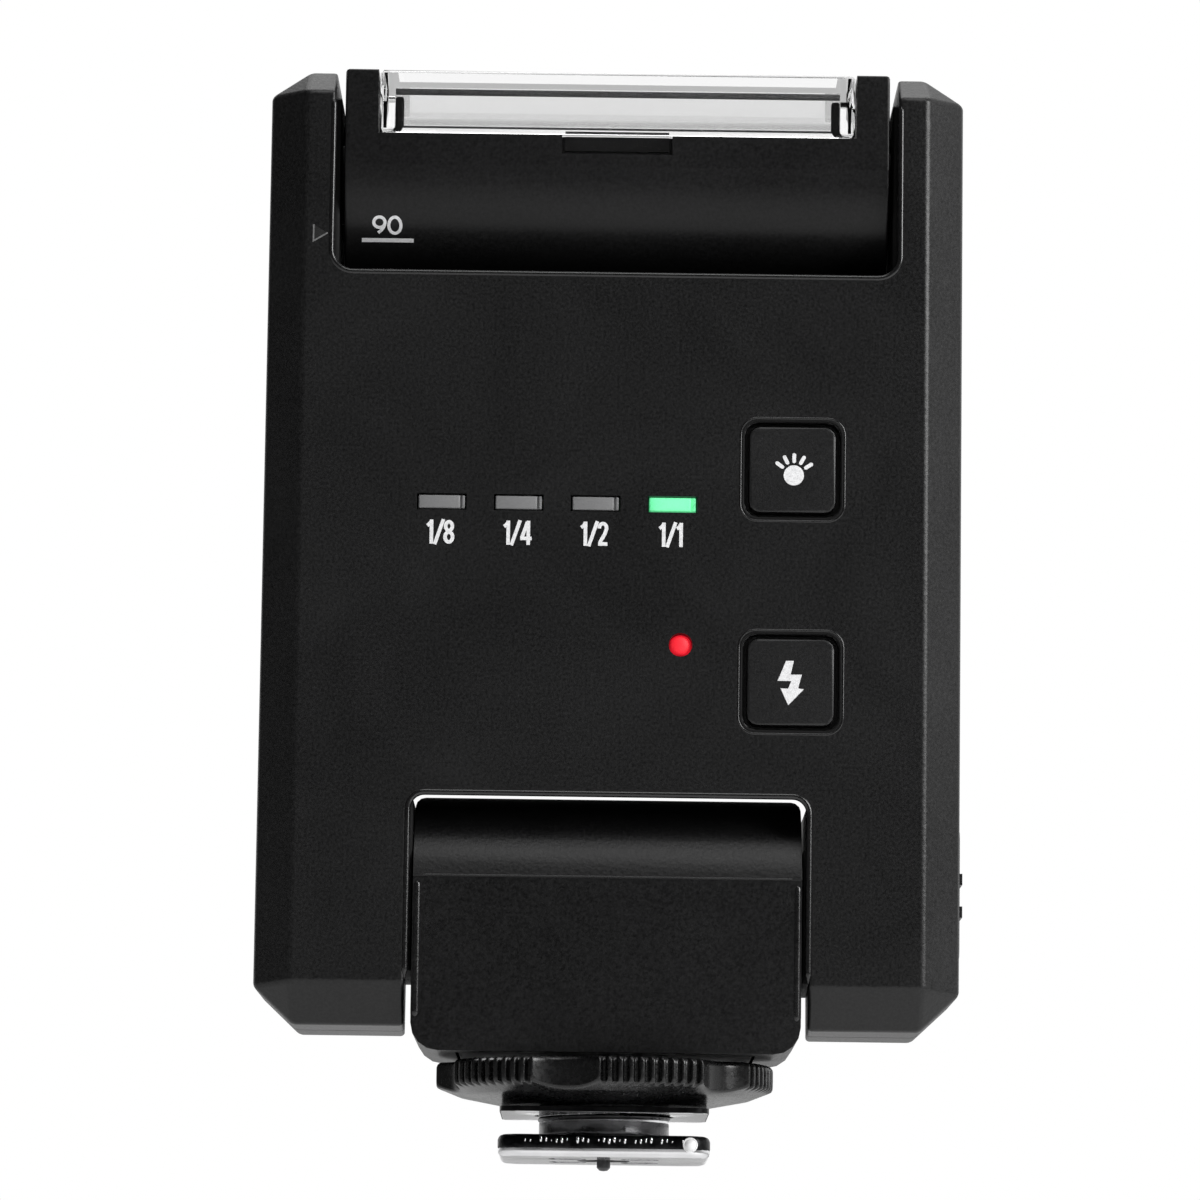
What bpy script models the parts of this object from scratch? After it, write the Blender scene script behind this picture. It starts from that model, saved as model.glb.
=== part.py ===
"""Compact folding hot-shoe flash, built as an assembly of separate pieces.

Frame: metres, +Z up, origin at the centre of the shoe foot's underside.
+X is to the right of someone facing the control panel, the panel faces -Y, and the
flash fires towards +Y (head lowered) or +Z (head raised, as modelled).
Dimensions below are in millimetres and are scaled by MM when a mesh is made.
"""
import math

import bmesh
import bpy
from mathutils import Matrix, Vector

MM = 0.001
GAP = 0.3  # running and resting clearance

# ---- case ------------------------------------------------------------------
CASE_HALF_W = 31.1
CASE_Z0, CASE_Z1 = 11.3, 97.0
CASE_HALF_T = 10.0
WALL = 1.6
PANEL_HALF_W = 27.8
PANEL_Z0, PANEL_Z1 = 14.9, 94.7
BEVEL_DEPTH = 2.8
EDGE_ROUND = 0.75
CORNER_X = 27.6
CORNER_Z0, CORNER_Z1 = 14.6, 94.7
SPLIT = 0.15  # half the parting gap between rear and front shells

# ---- flash head ------------------------------------------------------------
HEAD_Z = 88.2
HEAD_R = 9.3
HEAD_HALF_T = 9.37
HEAD_LEDGE_Z = 88.35  # the flat faces stand a little proud above this line
HEAD_HALF_W = 24.4
HEAD_TOP = 8.75
HEAD_WALL = 1.4
HEAD_NOTCH_HALF_W = 25.2
HEAD_NOTCH_Z = 78.5
LENS_HALF_W = 21.3
LENS_Z = 91.1
TRUNNION_R = 3.6

# ---- folding base ----------------------------------------------------------
FOLD_Z = 21.9
KNUCKLE_R = 10.32
BASE_HALF_W = 17.1
BASE_HALF_T = 10.0
BASE_Z0 = 9.05
BASE_NOTCH_HALF_W = 17.5
BASE_NOTCH_Z = 31.58  # at the rear face; the roof rises towards the front
BASE_NOTCH_SLOPE = 0.105
BASE_NOTCH_DRAFT = 0.032  # the side gaps widen towards the front
FOLD_PIN_R = 2.5

# ---- shoe foot and lock ----------------------------------------------------
FOOT_W, FOOT_L, FOOT_T = 18.6, 18.0, 1.9
NECK_R = 5.75
PLATE_Z0, PLATE_Z1 = 3.95, 4.4
WHEEL_R = 15.0
WHEEL_Z0, WHEEL_RIM_Z, WHEEL_Z1 = 4.75, 6.3, 8.5
WHEEL_SCALLOPS = 6
WHEEL_RIBS = 8
SCREW_AT = 3.2

# ---- control panel ---------------------------------------------------------
LED_X = (-15.13, -8.31, -1.49, 5.33)
LED_Z = 57.64
READY_X, READY_Z = 6.18, 45.1
BUTTON_X = 15.93
BUTTON_Z = {"level": 60.9, "test": 41.9}
BUTTON_HALF = 3.85
BUTTON_HOLE_HALF = 4.25

# ---- right-hand power slider and left-hand charging socket -----------------
SLIDER_Z0, SLIDER_Z1 = 18.2, 29.7
SLIDER_TRAVEL = 2.3
USB_Z0, USB_Z1 = 18.6, 27.6

SCREWS = ((-26.2, 74.2), (26.2, 74.2), (-25.6, 15.6), (25.6, 15.6))

for old in list(bpy.data.objects):
    bpy.data.objects.remove(old, do_unlink=True)


def new_collection(name):
    made = bpy.data.collections.new(name)
    bpy.context.scene.collection.children.link(made)
    return made


PARTS = new_collection("folding_flash")
CUTTERS = new_collection("cutters")


# ---------------------------------------------------------------------------
# small modelling helpers
# ---------------------------------------------------------------------------
def add(mesh, name, cutter=False):
    obj = bpy.data.objects.new(name, mesh)
    (CUTTERS if cutter else PARTS).objects.link(obj)
    if cutter:
        obj.hide_render = True
        obj.display_type = "WIRE"
    return obj


def finish_bmesh(bm, name, cutter=False):
    bmesh.ops.recalc_face_normals(bm, faces=bm.faces)
    mesh = bpy.data.meshes.new(name)
    bm.to_mesh(mesh)
    bm.free()
    return add(mesh, name, cutter)


def box_bm(bm, x, y, z):
    made = bmesh.ops.create_cube(bm, size=1.0)["verts"]
    size = Vector((x[1] - x[0], y[1] - y[0], z[1] - z[0])) * MM
    mid = Vector((x[1] + x[0], y[1] + y[0], z[1] + z[0])) * MM / 2
    bmesh.ops.scale(bm, vec=size, verts=made)
    bmesh.ops.translate(bm, vec=mid, verts=made)


def box(name, x, y, z, cutter=False):
    bm = bmesh.new()
    box_bm(bm, x, y, z)
    return finish_bmesh(bm, name, cutter)


TURN = {
    "X": Matrix.Rotation(math.pi / 2, 4, "Y"),
    "Y": Matrix.Rotation(-math.pi / 2, 4, "X"),
    "Z": Matrix.Identity(4),
}


def place_on_axis(axis, at):
    """A matrix that lays the local Z axis along X, Y or Z through the point at."""
    a, b = at
    spot = {"X": (0, a, b), "Y": (a, 0, b), "Z": (a, b, 0)}[axis]
    return Matrix.Translation(Vector(spot) * MM) @ TURN[axis]


def cylinder_bm(bm, axis, at, span, r, r_end=None, segments=28):
    lo, hi = span
    made = bmesh.ops.create_cone(
        bm,
        cap_ends=True,
        segments=segments,
        radius1=r * MM,
        radius2=(r if r_end is None else r_end) * MM,
        depth=(hi - lo) * MM,
    )["verts"]
    bmesh.ops.translate(bm, vec=Vector((0, 0, (hi + lo) / 2 * MM)), verts=made)
    bmesh.ops.transform(bm, matrix=place_on_axis(axis, at), verts=made)


def cylinder(name, axis, at, span, r, r_end=None, segments=28, cutter=False):
    bm = bmesh.new()
    cylinder_bm(bm, axis, at, span, r, r_end, segments)
    return finish_bmesh(bm, name, cutter)


def outline(name, points, plane, span, cutter=False):
    """A flat outline, filled and extruded: a 2D curve turned into a welded mesh."""
    lo, hi = span
    curve = bpy.data.curves.new(name + "_outline", "CURVE")
    curve.dimensions = "2D"
    curve.fill_mode = "BOTH"
    curve.extrude = (hi - lo) / 2 * MM
    spline = curve.splines.new("POLY")
    spline.points.add(len(points) - 1)
    for point, (a, b) in zip(spline.points, points):
        point.co = (a * MM, b * MM, 0, 1)
    spline.use_cyclic_u = True
    guide = bpy.data.objects.new(name + "_outline", curve)
    CUTTERS.objects.link(guide)
    bpy.context.view_layer.update()
    graph = bpy.context.evaluated_depsgraph_get()
    flat = bpy.data.meshes.new_from_object(guide.evaluated_get(graph))
    bpy.data.objects.remove(guide)
    bm = bmesh.new()
    bm.from_mesh(flat)
    bpy.data.meshes.remove(flat)
    bmesh.ops.remove_doubles(bm, verts=bm.verts, dist=1e-7)
    bmesh.ops.dissolve_limit(bm, angle_limit=0.005, verts=bm.verts, edges=bm.edges)
    turn = {
        "XY": Matrix.Identity(4),
        "XZ": Matrix(((1, 0, 0, 0), (0, 0, -1, 0), (0, 1, 0, 0), (0, 0, 0, 1))),
        "YZ": Matrix(((0, 0, 1, 0), (1, 0, 0, 0), (0, 1, 0, 0), (0, 0, 0, 1))),
    }[plane]
    shift = {
        "XY": (0, 0, (lo + hi) / 2),
        "XZ": (0, (lo + hi) / 2, 0),
        "YZ": ((lo + hi) / 2, 0, 0),
    }[plane]
    bmesh.ops.transform(
        bm, matrix=Matrix.Translation(Vector(shift) * MM) @ turn, verts=bm.verts
    )
    return finish_bmesh(bm, name, cutter)


def turned(name, profile, axis, at, steps=28, cutter=False):
    """A turned piece: a closed (radius, height) profile swept by a Screw modifier."""
    bm = bmesh.new()
    ring = [bm.verts.new((r * MM, 0, h * MM)) for r, h in profile]
    for a, b in zip(ring, ring[1:] + ring[:1]):
        if a.co.x > 1e-9 or b.co.x > 1e-9:
            bm.edges.new((a, b))
    mesh = bpy.data.meshes.new(name + "_profile")
    bm.to_mesh(mesh)
    bm.free()
    guide = add(mesh, name + "_profile", cutter=True)
    screw = guide.modifiers.new("Screw", "SCREW")
    screw.axis = "Z"
    screw.steps = steps
    screw.render_steps = steps
    screw.use_merge_vertices = True
    screw.merge_threshold = 0.00001
    bpy.context.view_layer.update()
    graph = bpy.context.evaluated_depsgraph_get()
    swept = bpy.data.meshes.new_from_object(guide.evaluated_get(graph))
    bpy.data.objects.remove(guide)
    bm = bmesh.new()
    bm.from_mesh(swept)
    bpy.data.meshes.remove(swept)
    bmesh.ops.remove_doubles(bm, verts=bm.verts, dist=1e-7)
    bmesh.ops.transform(bm, matrix=place_on_axis(axis, at), verts=bm.verts)
    return finish_bmesh(bm, name, cutter)


def wire(name, points, radius, resolution=1, ends=True):
    """A wire or spring: a POLY curve with a round bevel and filled caps."""
    curve = bpy.data.curves.new(name, "CURVE")
    curve.dimensions = "3D"
    curve.bevel_depth = radius * MM
    curve.bevel_resolution = resolution
    curve.use_fill_caps = ends
    spline = curve.splines.new("POLY")
    spline.points.add(len(points) - 1)
    for point, p in zip(spline.points, points):
        point.co = (p[0] * MM, p[1] * MM, p[2] * MM, 1)
    obj = bpy.data.objects.new(name, curve)
    PARTS.objects.link(obj)
    return obj


def boolean(obj, other, operation="DIFFERENCE"):
    modifier = obj.modifiers.new(operation.title(), "BOOLEAN")
    modifier.operation = operation
    modifier.object = other
    modifier.solver = "EXACT"
    return obj


def round_edges(obj, width, segments=2, angle=25):
    modifier = obj.modifiers.new("Bevel", "BEVEL")
    modifier.width = width * MM
    modifier.segments = segments
    modifier.limit_method = "ANGLE"
    modifier.angle_limit = math.radians(angle)
    return obj


def rounded_rect(x0, x1, z0, z1, radii, steps=4):
    """Corner order: lower left, lower right, upper right, upper left."""
    points = []
    corners = (
        (x0, z0, 1, 1, 180),
        (x1, z0, -1, 1, 270),
        (x1, z1, -1, -1, 0),
        (x0, z1, 1, -1, 90),
    )
    for (cx, cz, sx, sz, start), r in zip(corners, radii):
        if r <= 0:
            points.append((cx, cz))
            continue
        for i in range(steps + 1):
            a = math.radians(start + 90 * i / steps)
            points.append((cx + sx * r + r * math.cos(a), cz + sz * r + r * math.sin(a)))
    return points


def open_towards_front(obj, slope, draft, y_ref):
    """Lean a cutter's roof and walls so that it widens towards the front."""
    for v in obj.data.vertices:
        run = v.co.y - y_ref * MM
        v.co.z += slope * run
        v.co.x += math.copysign(draft * run, v.co.x)


def hull(name, points, cutter=False):
    bm = bmesh.new()
    verts = [bm.verts.new(Vector(p) * MM) for p in points]
    bmesh.ops.convex_hull(bm, input=verts)
    bmesh.ops.dissolve_limit(bm, angle_limit=0.005, verts=bm.verts, edges=bm.edges)
    return finish_bmesh(bm, name, cutter)


MATERIALS = {}


def material(name, colour, roughness, metallic=0.0, alpha=1.0):
    made = bpy.data.materials.new(name)
    made.use_nodes = True
    shader = made.node_tree.nodes["Principled BSDF"]
    shader.inputs["Base Color"].default_value = (*colour, 1.0)
    shader.inputs["Roughness"].default_value = roughness
    shader.inputs["Metallic"].default_value = metallic
    shader.inputs["Alpha"].default_value = alpha
    MATERIALS[name] = made


material("textured_black", (0.018, 0.018, 0.019), 0.55)
material("satin_black", (0.014, 0.014, 0.015), 0.4)
material("clear_lens", (0.95, 0.96, 0.97), 0.05, 0.0, 0.35)
material("grey_window", (0.28, 0.28, 0.29), 0.35)
material("green_window", (0.18, 0.85, 0.42), 0.3)
material("red_window", (0.9, 0.02, 0.03), 0.25)
material("polished_steel", (0.75, 0.75, 0.76), 0.18, 1.0)
material("dark_steel", (0.12, 0.12, 0.13), 0.35, 1.0)
material("brass", (0.75, 0.56, 0.25), 0.3, 1.0)
material("nylon", (0.05, 0.05, 0.05), 0.5)
material("mirror_aluminium", (0.9, 0.9, 0.9), 0.08, 1.0)
material("tube_glass", (0.9, 0.92, 0.93), 0.05, 0.0, 0.4)
material("board_green", (0.02, 0.18, 0.07), 0.45)
material("capacitor_sleeve", (0.03, 0.03, 0.05), 0.35)
material("cell_wrap", (0.55, 0.57, 0.6), 0.35, 0.6)
material("ferrite", (0.06, 0.055, 0.05), 0.7)
material("wire_red", (0.6, 0.03, 0.02), 0.45)
material("wire_black", (0.02, 0.02, 0.02), 0.45)
material("rubber_grey", (0.09, 0.09, 0.09), 0.8)


# ---------------------------------------------------------------------------
# pivots: empties on the joint axes, and the pieces each one carries
# ---------------------------------------------------------------------------
def pivot(name, at, parent=None):
    empty = bpy.data.objects.new(name, None)
    empty.empty_display_size = 0.01
    PARTS.objects.link(empty)
    empty["at"] = at
    if parent is not None:
        empty.parent = parent
        at = Vector(at) - Vector(parent["at"])
    empty.location = Vector(at) * MM
    return empty


BASE = pivot("base_root", (0, 0, 0))
FOLD = pivot("fold_axis", (0, 0, FOLD_Z), BASE)
HEAD = pivot("head_axis", (0, 0, HEAD_Z), FOLD)
LOCK = pivot("lock_axis", (0, 0, PLATE_Z0), BASE)


def mount_on(obj, carrier, paint, origin=None):
    """Parent a piece to its pivot, with its own origin there or at the point given."""
    at = Vector(carrier["at"]) if origin is None else Vector(origin)
    shift = Matrix.Translation(-at * MM)
    if obj.type == "MESH":
        obj.data.transform(shift)
        obj.data.shade_smooth()
        obj.data.set_sharp_from_angle(angle=math.radians(35))
        obj.modifiers.new("Weighted normals", "WEIGHTED_NORMAL").keep_sharp = True
    else:
        obj.data.transform(shift)
    obj.parent = carrier
    obj.location = (at - Vector(carrier["at"])) * MM
    obj.data.materials.clear()
    obj.data.materials.append(MATERIALS[paint])
    return obj


# ---------------------------------------------------------------------------
# case: two shells that meet on the plane through both hinge axes
# ---------------------------------------------------------------------------
def case_points(inset):
    """The chamfered slab: a flat panel each side, bevels, and clipped corners."""
    w, t = CASE_HALF_W - inset, CASE_HALF_T - inset
    z0, z1 = CASE_Z0 + inset, CASE_Z1 - inset
    k = inset * 0.45
    side_t = CASE_HALF_T - BEVEL_DEPTH - k
    found = []
    for sy in (-1, 1):
        for sx in (-1, 1):
            found += [
                (sx * (PANEL_HALF_W - k), sy * t, PANEL_Z0 + k),
                (sx * (PANEL_HALF_W - k), sy * t, PANEL_Z1 - k),
                (sx * (CORNER_X - k), sy * side_t, z0),
                (sx * w, sy * side_t, CORNER_Z0 + k),
                (sx * w, sy * side_t, CORNER_Z1 - k),
                (sx * (CORNER_X - k), sy * side_t, z1),
            ]
    return found


def head_notch(name, grow):
    return outline(
        name,
        rounded_rect(
            -HEAD_NOTCH_HALF_W - grow,
            HEAD_NOTCH_HALF_W + grow,
            HEAD_NOTCH_Z - grow,
            HEAD_NOTCH_Z + 30,
            (1.8 + grow, 1.8 + grow, 0, 0),
            steps=3,
        ),
        "XZ",
        (-14, 14),
        cutter=True,
    )


def base_notch(name, grow):
    made = outline(
        name,
        rounded_rect(
            -BASE_NOTCH_HALF_W - grow,
            BASE_NOTCH_HALF_W + grow,
            -4 - grow,
            BASE_NOTCH_Z + grow,
            (0, 0, 1.3 + grow, 1.3 + grow),
            steps=3,
        ),
        "XZ",
        (-14, 14),
        cutter=True,
    )
    open_towards_front(made, BASE_NOTCH_SLOPE, BASE_NOTCH_DRAFT, -CASE_HALF_T)
    return made


HEAD_NOTCH = head_notch("cut_head_notch", 0)
BASE_NOTCH = base_notch("cut_base_notch", 0)
CAVITY = hull("cut_cavity", case_points(WALL), cutter=True)
boolean(CAVITY, head_notch("cut_head_notch_wall", WALL))
boolean(CAVITY, base_notch("cut_base_notch_wall", WALL))

bm = bmesh.new()
for side in (-1, 1):
    lo, hi = sorted((side * 24.6, side * 27.4))
    cylinder_bm(bm, "X", (0, HEAD_Z), (lo, hi), TRUNNION_R + GAP, segments=24)
    lo, hi = sorted((side * 17.0, side * 20.6))
    cylinder_bm(bm, "X", (0, FOLD_Z), (lo, hi), FOLD_PIN_R + GAP, segments=20)
BORES = finish_bmesh(bm, "cut_case_bores", cutter=True)

bm = bmesh.new()
for x in LED_X:
    box_bm(bm, (x - 2.2, x + 2.2), (-12, -7), (LED_Z - 0.725, LED_Z + 0.725))
cylinder_bm(bm, "Y", (READY_X, READY_Z), (-12, -7), 1.05, segments=20)
WINDOWS = finish_bmesh(bm, "cut_panel_windows", cutter=True)

def flared_hole(name, x, z, half, corner, y_face, flare):
    """A square hole whose rim is eased over the last part of its depth."""
    hole = outline(
        name,
        rounded_rect(x - half, x + half, z - half, z + half, (corner,) * 4, steps=3),
        "XZ",
        (-12, -7),
        cutter=True,
    )
    half += flare * 1.5
    rim = outline(
        name + "_rim",
        rounded_rect(x - half, x + half, z - half, z + half, (corner + flare,) * 4, steps=3),
        "XZ",
        (y_face - flare * 0.5, y_face + flare),
        cutter=True,
    )
    for v in rim.data.vertices:
        if v.co.y > y_face * MM:
            v.co.x += math.copysign(flare * 1.5 * MM, x * MM - v.co.x)
            v.co.z += math.copysign(flare * 1.5 * MM, z * MM - v.co.z)
    return [hole, rim]


BUTTON_HOLES = []
for which, z in BUTTON_Z.items():
    BUTTON_HOLES += flared_hole(
        f"cut_{which}_button_hole", BUTTON_X, z, BUTTON_HOLE_HALF, 1.2, -CASE_HALF_T, 0.2
    )

USB_HOLE = outline(
    "cut_usb_hole",
    rounded_rect(-1.95, 1.95, USB_Z0 - 0.35, USB_Z1 + 0.35, (1.9,) * 4, steps=3),
    "YZ",
    (-33, -28.5),
    cutter=True,
)
bm = bmesh.new()
box_bm(bm, (30.3, 33), (-3.0, 3.0), (15.6, 30.2))
SLIDER_POCKET = finish_bmesh(bm, "cut_slider_pocket", cutter=True)
SLIDER_SLOT = box("cut_slider_slot", (28.8, 30.8), (-1.0, 1.0), (19.9, 25.9), cutter=True)


def wall_line(inset):
    """The case's outline on the parting plane, moved into the wall by inset."""
    roof = BASE_NOTCH_Z + BASE_NOTCH_SLOPE * CASE_HALF_T
    cheek = BASE_NOTCH_HALF_W + BASE_NOTCH_DRAFT * CASE_HALF_T
    half = [
        (cheek, roof),
        (cheek, CASE_Z0),
        (CORNER_X, CASE_Z0),
        (CASE_HALF_W, CORNER_Z0),
        (CASE_HALF_W, CORNER_Z1),
        (CORNER_X, CASE_Z1),
        (HEAD_NOTCH_HALF_W, CASE_Z1),
        (HEAD_NOTCH_HALF_W, HEAD_NOTCH_Z),
    ]
    loop = [Vector(p) for p in half] + [Vector((-x, z)) for x, z in half[::-1]]
    moved = []
    for i, here in enumerate(loop):
        before = (here - loop[i - 1]).normalized()
        after = (loop[(i + 1) % len(loop)] - here).normalized()
        in_a = Vector((-before.y, before.x))
        in_b = Vector((-after.y, after.x))
        mitre = (in_a + in_b) / (1 + in_a.dot(in_b))
        moved.append(tuple(here + mitre * inset))
    return moved


def wall_ring(name, inner, outer, span):
    """A closed band that runs inside the case wall, between two insets."""
    ring = outline(name, wall_line(outer), "XZ", span, cutter=True)
    middle = outline(name + "_middle", wall_line(inner), "XZ", (span[0] - 1, span[1] + 1), cutter=True)
    return boolean(ring, middle)


TONGUE = wall_ring("add_parting_tongue", 1.05, 0.6, (-0.6, 0.85))
GROOVE = wall_ring("cut_parting_groove", 1.25, 0.4, (-0.6, 1.05))


def settled(obj):
    """The object with its modifiers applied, as clean flat faces."""
    bpy.context.view_layer.update()
    graph = bpy.context.evaluated_depsgraph_get()
    made = bpy.data.meshes.new_from_object(obj.evaluated_get(graph))
    obj.modifiers.clear()
    bm = bmesh.new()
    bm.from_mesh(made)
    bpy.data.meshes.remove(made)
    bmesh.ops.remove_doubles(bm, verts=bm.verts, dist=1e-7)
    bmesh.ops.dissolve_limit(bm, angle_limit=0.002, verts=bm.verts, edges=bm.edges)
    bm.to_mesh(obj.data)
    bm.free()
    return obj


# the whole case as one rounded block with both notches, before it is parted
CASE_BLOCK = hull("case_block", case_points(0), cutter=True)
boolean(CASE_BLOCK, HEAD_NOTCH)
boolean(CASE_BLOCK, BASE_NOTCH)
settled(CASE_BLOCK)
round_edges(CASE_BLOCK, EDGE_ROUND, 3, 19)
settled(CASE_BLOCK)


def case_shell(name, sign):
    shell = add(CASE_BLOCK.data.copy(), name)
    lo, hi = sorted((-sign * 20, sign * SPLIT))
    boolean(shell, box(f"cut_{name}_half", (-40, 40), (lo, hi), (0, 110), cutter=True))
    boolean(shell, CAVITY)
    if sign < 0:
        boolean(shell, TONGUE, "UNION")
    else:
        boolean(shell, GROOVE)
    bm = bmesh.new()
    for x, z in SCREWS:
        lo, hi = sorted((sign * 0.45, sign * 8.8))
        cylinder_bm(bm, "Y", (x, z), (lo, hi), 2.2, segments=16)
    boolean(shell, finish_bmesh(bm, f"add_{name}_bosses", cutter=True), "UNION")
    bm = bmesh.new()
    if sign < 0:
        for x, z in ((-15.6, 39.0), (-15.6, 63.4), (7.0, 39.0), (7.0, 63.4)):
            cylinder_bm(bm, "Y", (x, z), (-8.8, -5.8), 1.2, segments=12)
    else:
        for x, z in ((-11.0, 40.0), (-11.0, 68.4), (10.6, 40.0), (10.6, 68.4)):
            cylinder_bm(bm, "Y", (x, z), (7.1, 8.8), 1.4, segments=12)
        for z in (45.0, 62.0):
            box_bm(bm, (-28.2, -15.8), (4.2, 8.8), (z - 0.5, z + 0.5))
    boolean(shell, finish_bmesh(bm, f"add_{name}_supports", cutter=True), "UNION")
    if sign > 0:
        boolean(shell, cylinder("cut_capacitor_cradle", "Z", (-22.0, 1.2), (40, 67), 6.75, segments=32, cutter=True))
    bm = bmesh.new()
    for x, z in SCREWS:
        if sign < 0:
            cylinder_bm(bm, "Y", (x, z), (-7.2, 1), 1.05, segments=12)
        else:
            cylinder_bm(bm, "Y", (x, z), (-1, 7.61), 1.15, segments=16)
    boolean(shell, finish_bmesh(bm, f"cut_{name}_screw_holes", cutter=True))
    if sign > 0:
        bm = bmesh.new()
        for x, z in SCREWS:
            cylinder_bm(bm, "Y", (x, z), (7.6, 12), 2.0, segments=20)
        boolean(shell, finish_bmesh(bm, f"cut_{name}_counterbores", cutter=True))
    boolean(shell, BORES)
    boolean(shell, USB_HOLE)
    boolean(shell, SLIDER_POCKET)
    boolean(shell, SLIDER_SLOT)
    return shell


rear_shell = case_shell("rear_shell", -1)
boolean(rear_shell, WINDOWS)
for hole in BUTTON_HOLES:
    boolean(rear_shell, hole)
front_shell = case_shell("front_shell", 1)
mount_on(rear_shell, FOLD, "textured_black")
mount_on(front_shell, FOLD, "textured_black")

for n, (x, z) in enumerate(SCREWS, 1):
    screw = turned(
        f"case_screw_{n}",
        [(0, -5.2), (0.8, -4.6), (0.8, 7.85), (1.7, 7.85), (1.7, 8.9), (1.45, 9.2), (0, 9.2)],
        "Y",
        (x, z),
        steps=16,
    )
    slot = bmesh.new()
    box_bm(slot, (x - 1.1, x + 1.1), (8.6, 10), (z - 0.2, z + 0.2))
    box_bm(slot, (x - 0.2, x + 0.2), (8.7, 10.1), (z - 1.1, z + 1.1))
    cross = finish_bmesh(slot, f"cut_screw_cross_{n}", cutter=True)
    modifier = boolean(screw, cross).modifiers[-1]
    modifier.use_self = True
    mount_on(screw, FOLD, "dark_steel")

# ---- control panel pieces -----------------------------------------------------
for label, x in zip(("eighth", "quarter", "half", "full"), LED_X):
    lens = box(f"led_window_{label}", (x - 2.08, x + 2.08), (-9.8, -8.0), (LED_Z - 0.6, LED_Z + 0.6))
    flange = box(f"add_led_flange_{label}", (x - 2.9, x + 2.9), (-8.2, -7.3), (LED_Z - 1.5, LED_Z + 1.5), cutter=True)
    boolean(lens, flange, "UNION")
    mount_on(lens, FOLD, "green_window" if label == "full" else "grey_window")

ready = turned(
    "ready_lamp_lens",
    [(0, -9.95), (0.6, -9.85), (0.9, -9.6), (0.9, -8.2), (1.6, -8.2), (1.6, -7.3), (0, -7.3)],
    "Y",
    (READY_X, READY_Z),
    steps=20,
)
mount_on(ready, FOLD, "red_window")

for which, z in BUTTON_Z.items():
    cap = outline(
        f"{which}_button",
        rounded_rect(
            BUTTON_X - BUTTON_HALF,
            BUTTON_X + BUTTON_HALF,
            z - BUTTON_HALF,
            z + BUTTON_HALF,
            (0.95,) * 4,
            steps=3,
        ),
        "XZ",
        (-9.95, -7.6),
    )
    round_edges(cap, 0.2, 2, 50)
    flange = box(
        f"add_{which}_button_flange",
        (BUTTON_X - 4.9, BUTTON_X + 4.9),
        (-8.1, -7.5),
        (z - 4.9, z + 4.9),
        cutter=True,
    )
    boolean(cap, flange, "UNION")
    mount_on(cap, FOLD, "satin_black", origin=(BUTTON_X, -9.95, z))
    switch = box(f"{which}_tact_switch", (BUTTON_X - 3, BUTTON_X + 3), (-6.6, -5.75), (z - 3, z + 3))
    plunger = cylinder(f"add_{which}_plunger", "Y", (BUTTON_X, z), (-6.9, -6.2), 1.6, segments=16, cutter=True)
    boolean(switch, plunger, "UNION")
    mount_on(switch, FOLD, "dark_steel")

board = box("control_board", (-17.6, 23), (-5.6, -4.6), (36.8, 65.6))
bm = bmesh.new()
for x in LED_X:
    box_bm(bm, (x - 0.9, x + 0.9), (-6.4, -5.0), (LED_Z - 0.5, LED_Z + 0.5))
box_bm(bm, (READY_X - 0.8, READY_X + 0.8), (-6.4, -5.0), (READY_Z - 0.8, READY_Z + 0.8))
boolean(board, finish_bmesh(bm, "add_led_chips", cutter=True), "UNION")
mount_on(board, FOLD, "board_green")

# ---- power parts inside the case ------------------------------------------------
mount_on(box("battery_cell", (-14.4, 12.8), (-3.9, 4.2), (37.4, 71.0)), FOLD, "cell_wrap")
capacitor = turned(
    "main_capacitor",
    [(0, 36.6), (5.9, 36.6), (6.5, 37.1), (6.5, 69.6), (6.1, 70.0), (6.5, 70.4), (6.5, 71.4), (0, 71.4)],
    "Z",
    (-22.0, 1.2),
    steps=24,
)
mount_on(capacitor, FOLD, "capacitor_sleeve")
mount_on(box("main_board", (-13.8, 28.6), (5.6, 6.8), (37.0, 71.2)), FOLD, "board_green")
transformer = box("charging_transformer", (15.6, 27.6), (-2.6, 5.3), (46, 58))
groove = bmesh.new()
box_bm(groove, (14.6, 17.4), (-1.2, 3.9), (49, 55))
box_bm(groove, (25.8, 28.6), (-1.2, 3.9), (49, 55))
boolean(transformer, finish_bmesh(groove, "cut_transformer_grooves", cutter=True))
mount_on(transformer, FOLD, "ferrite")
mount_on(box("trigger_coil", (17.0, 25.5), (-1.5, 5.3), (62.0, 69.0)), FOLD, "ferrite")

socket = outline(
    "usb_c_socket",
    rounded_rect(-1.6, 1.6, USB_Z0, USB_Z1, (1.55,) * 4, steps=3),
    "YZ",
    (-30.9, -23.8),
)
mouth = outline(
    "cut_usb_mouth",
    rounded_rect(-1.3, 1.3, USB_Z0 + 0.3, USB_Z1 - 0.3, (1.25,) * 4, steps=3),
    "YZ",
    (-32, -25.0),
    cutter=True,
)
boolean(socket, mouth)
tongue = box("add_usb_tongue", (-30.2, -24.5), (-0.35, 0.35), (USB_Z0 + 1.2, USB_Z1 - 1.2), cutter=True)
boolean(socket, tongue, "UNION")
mount_on(socket, FOLD, "polished_steel")

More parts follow.
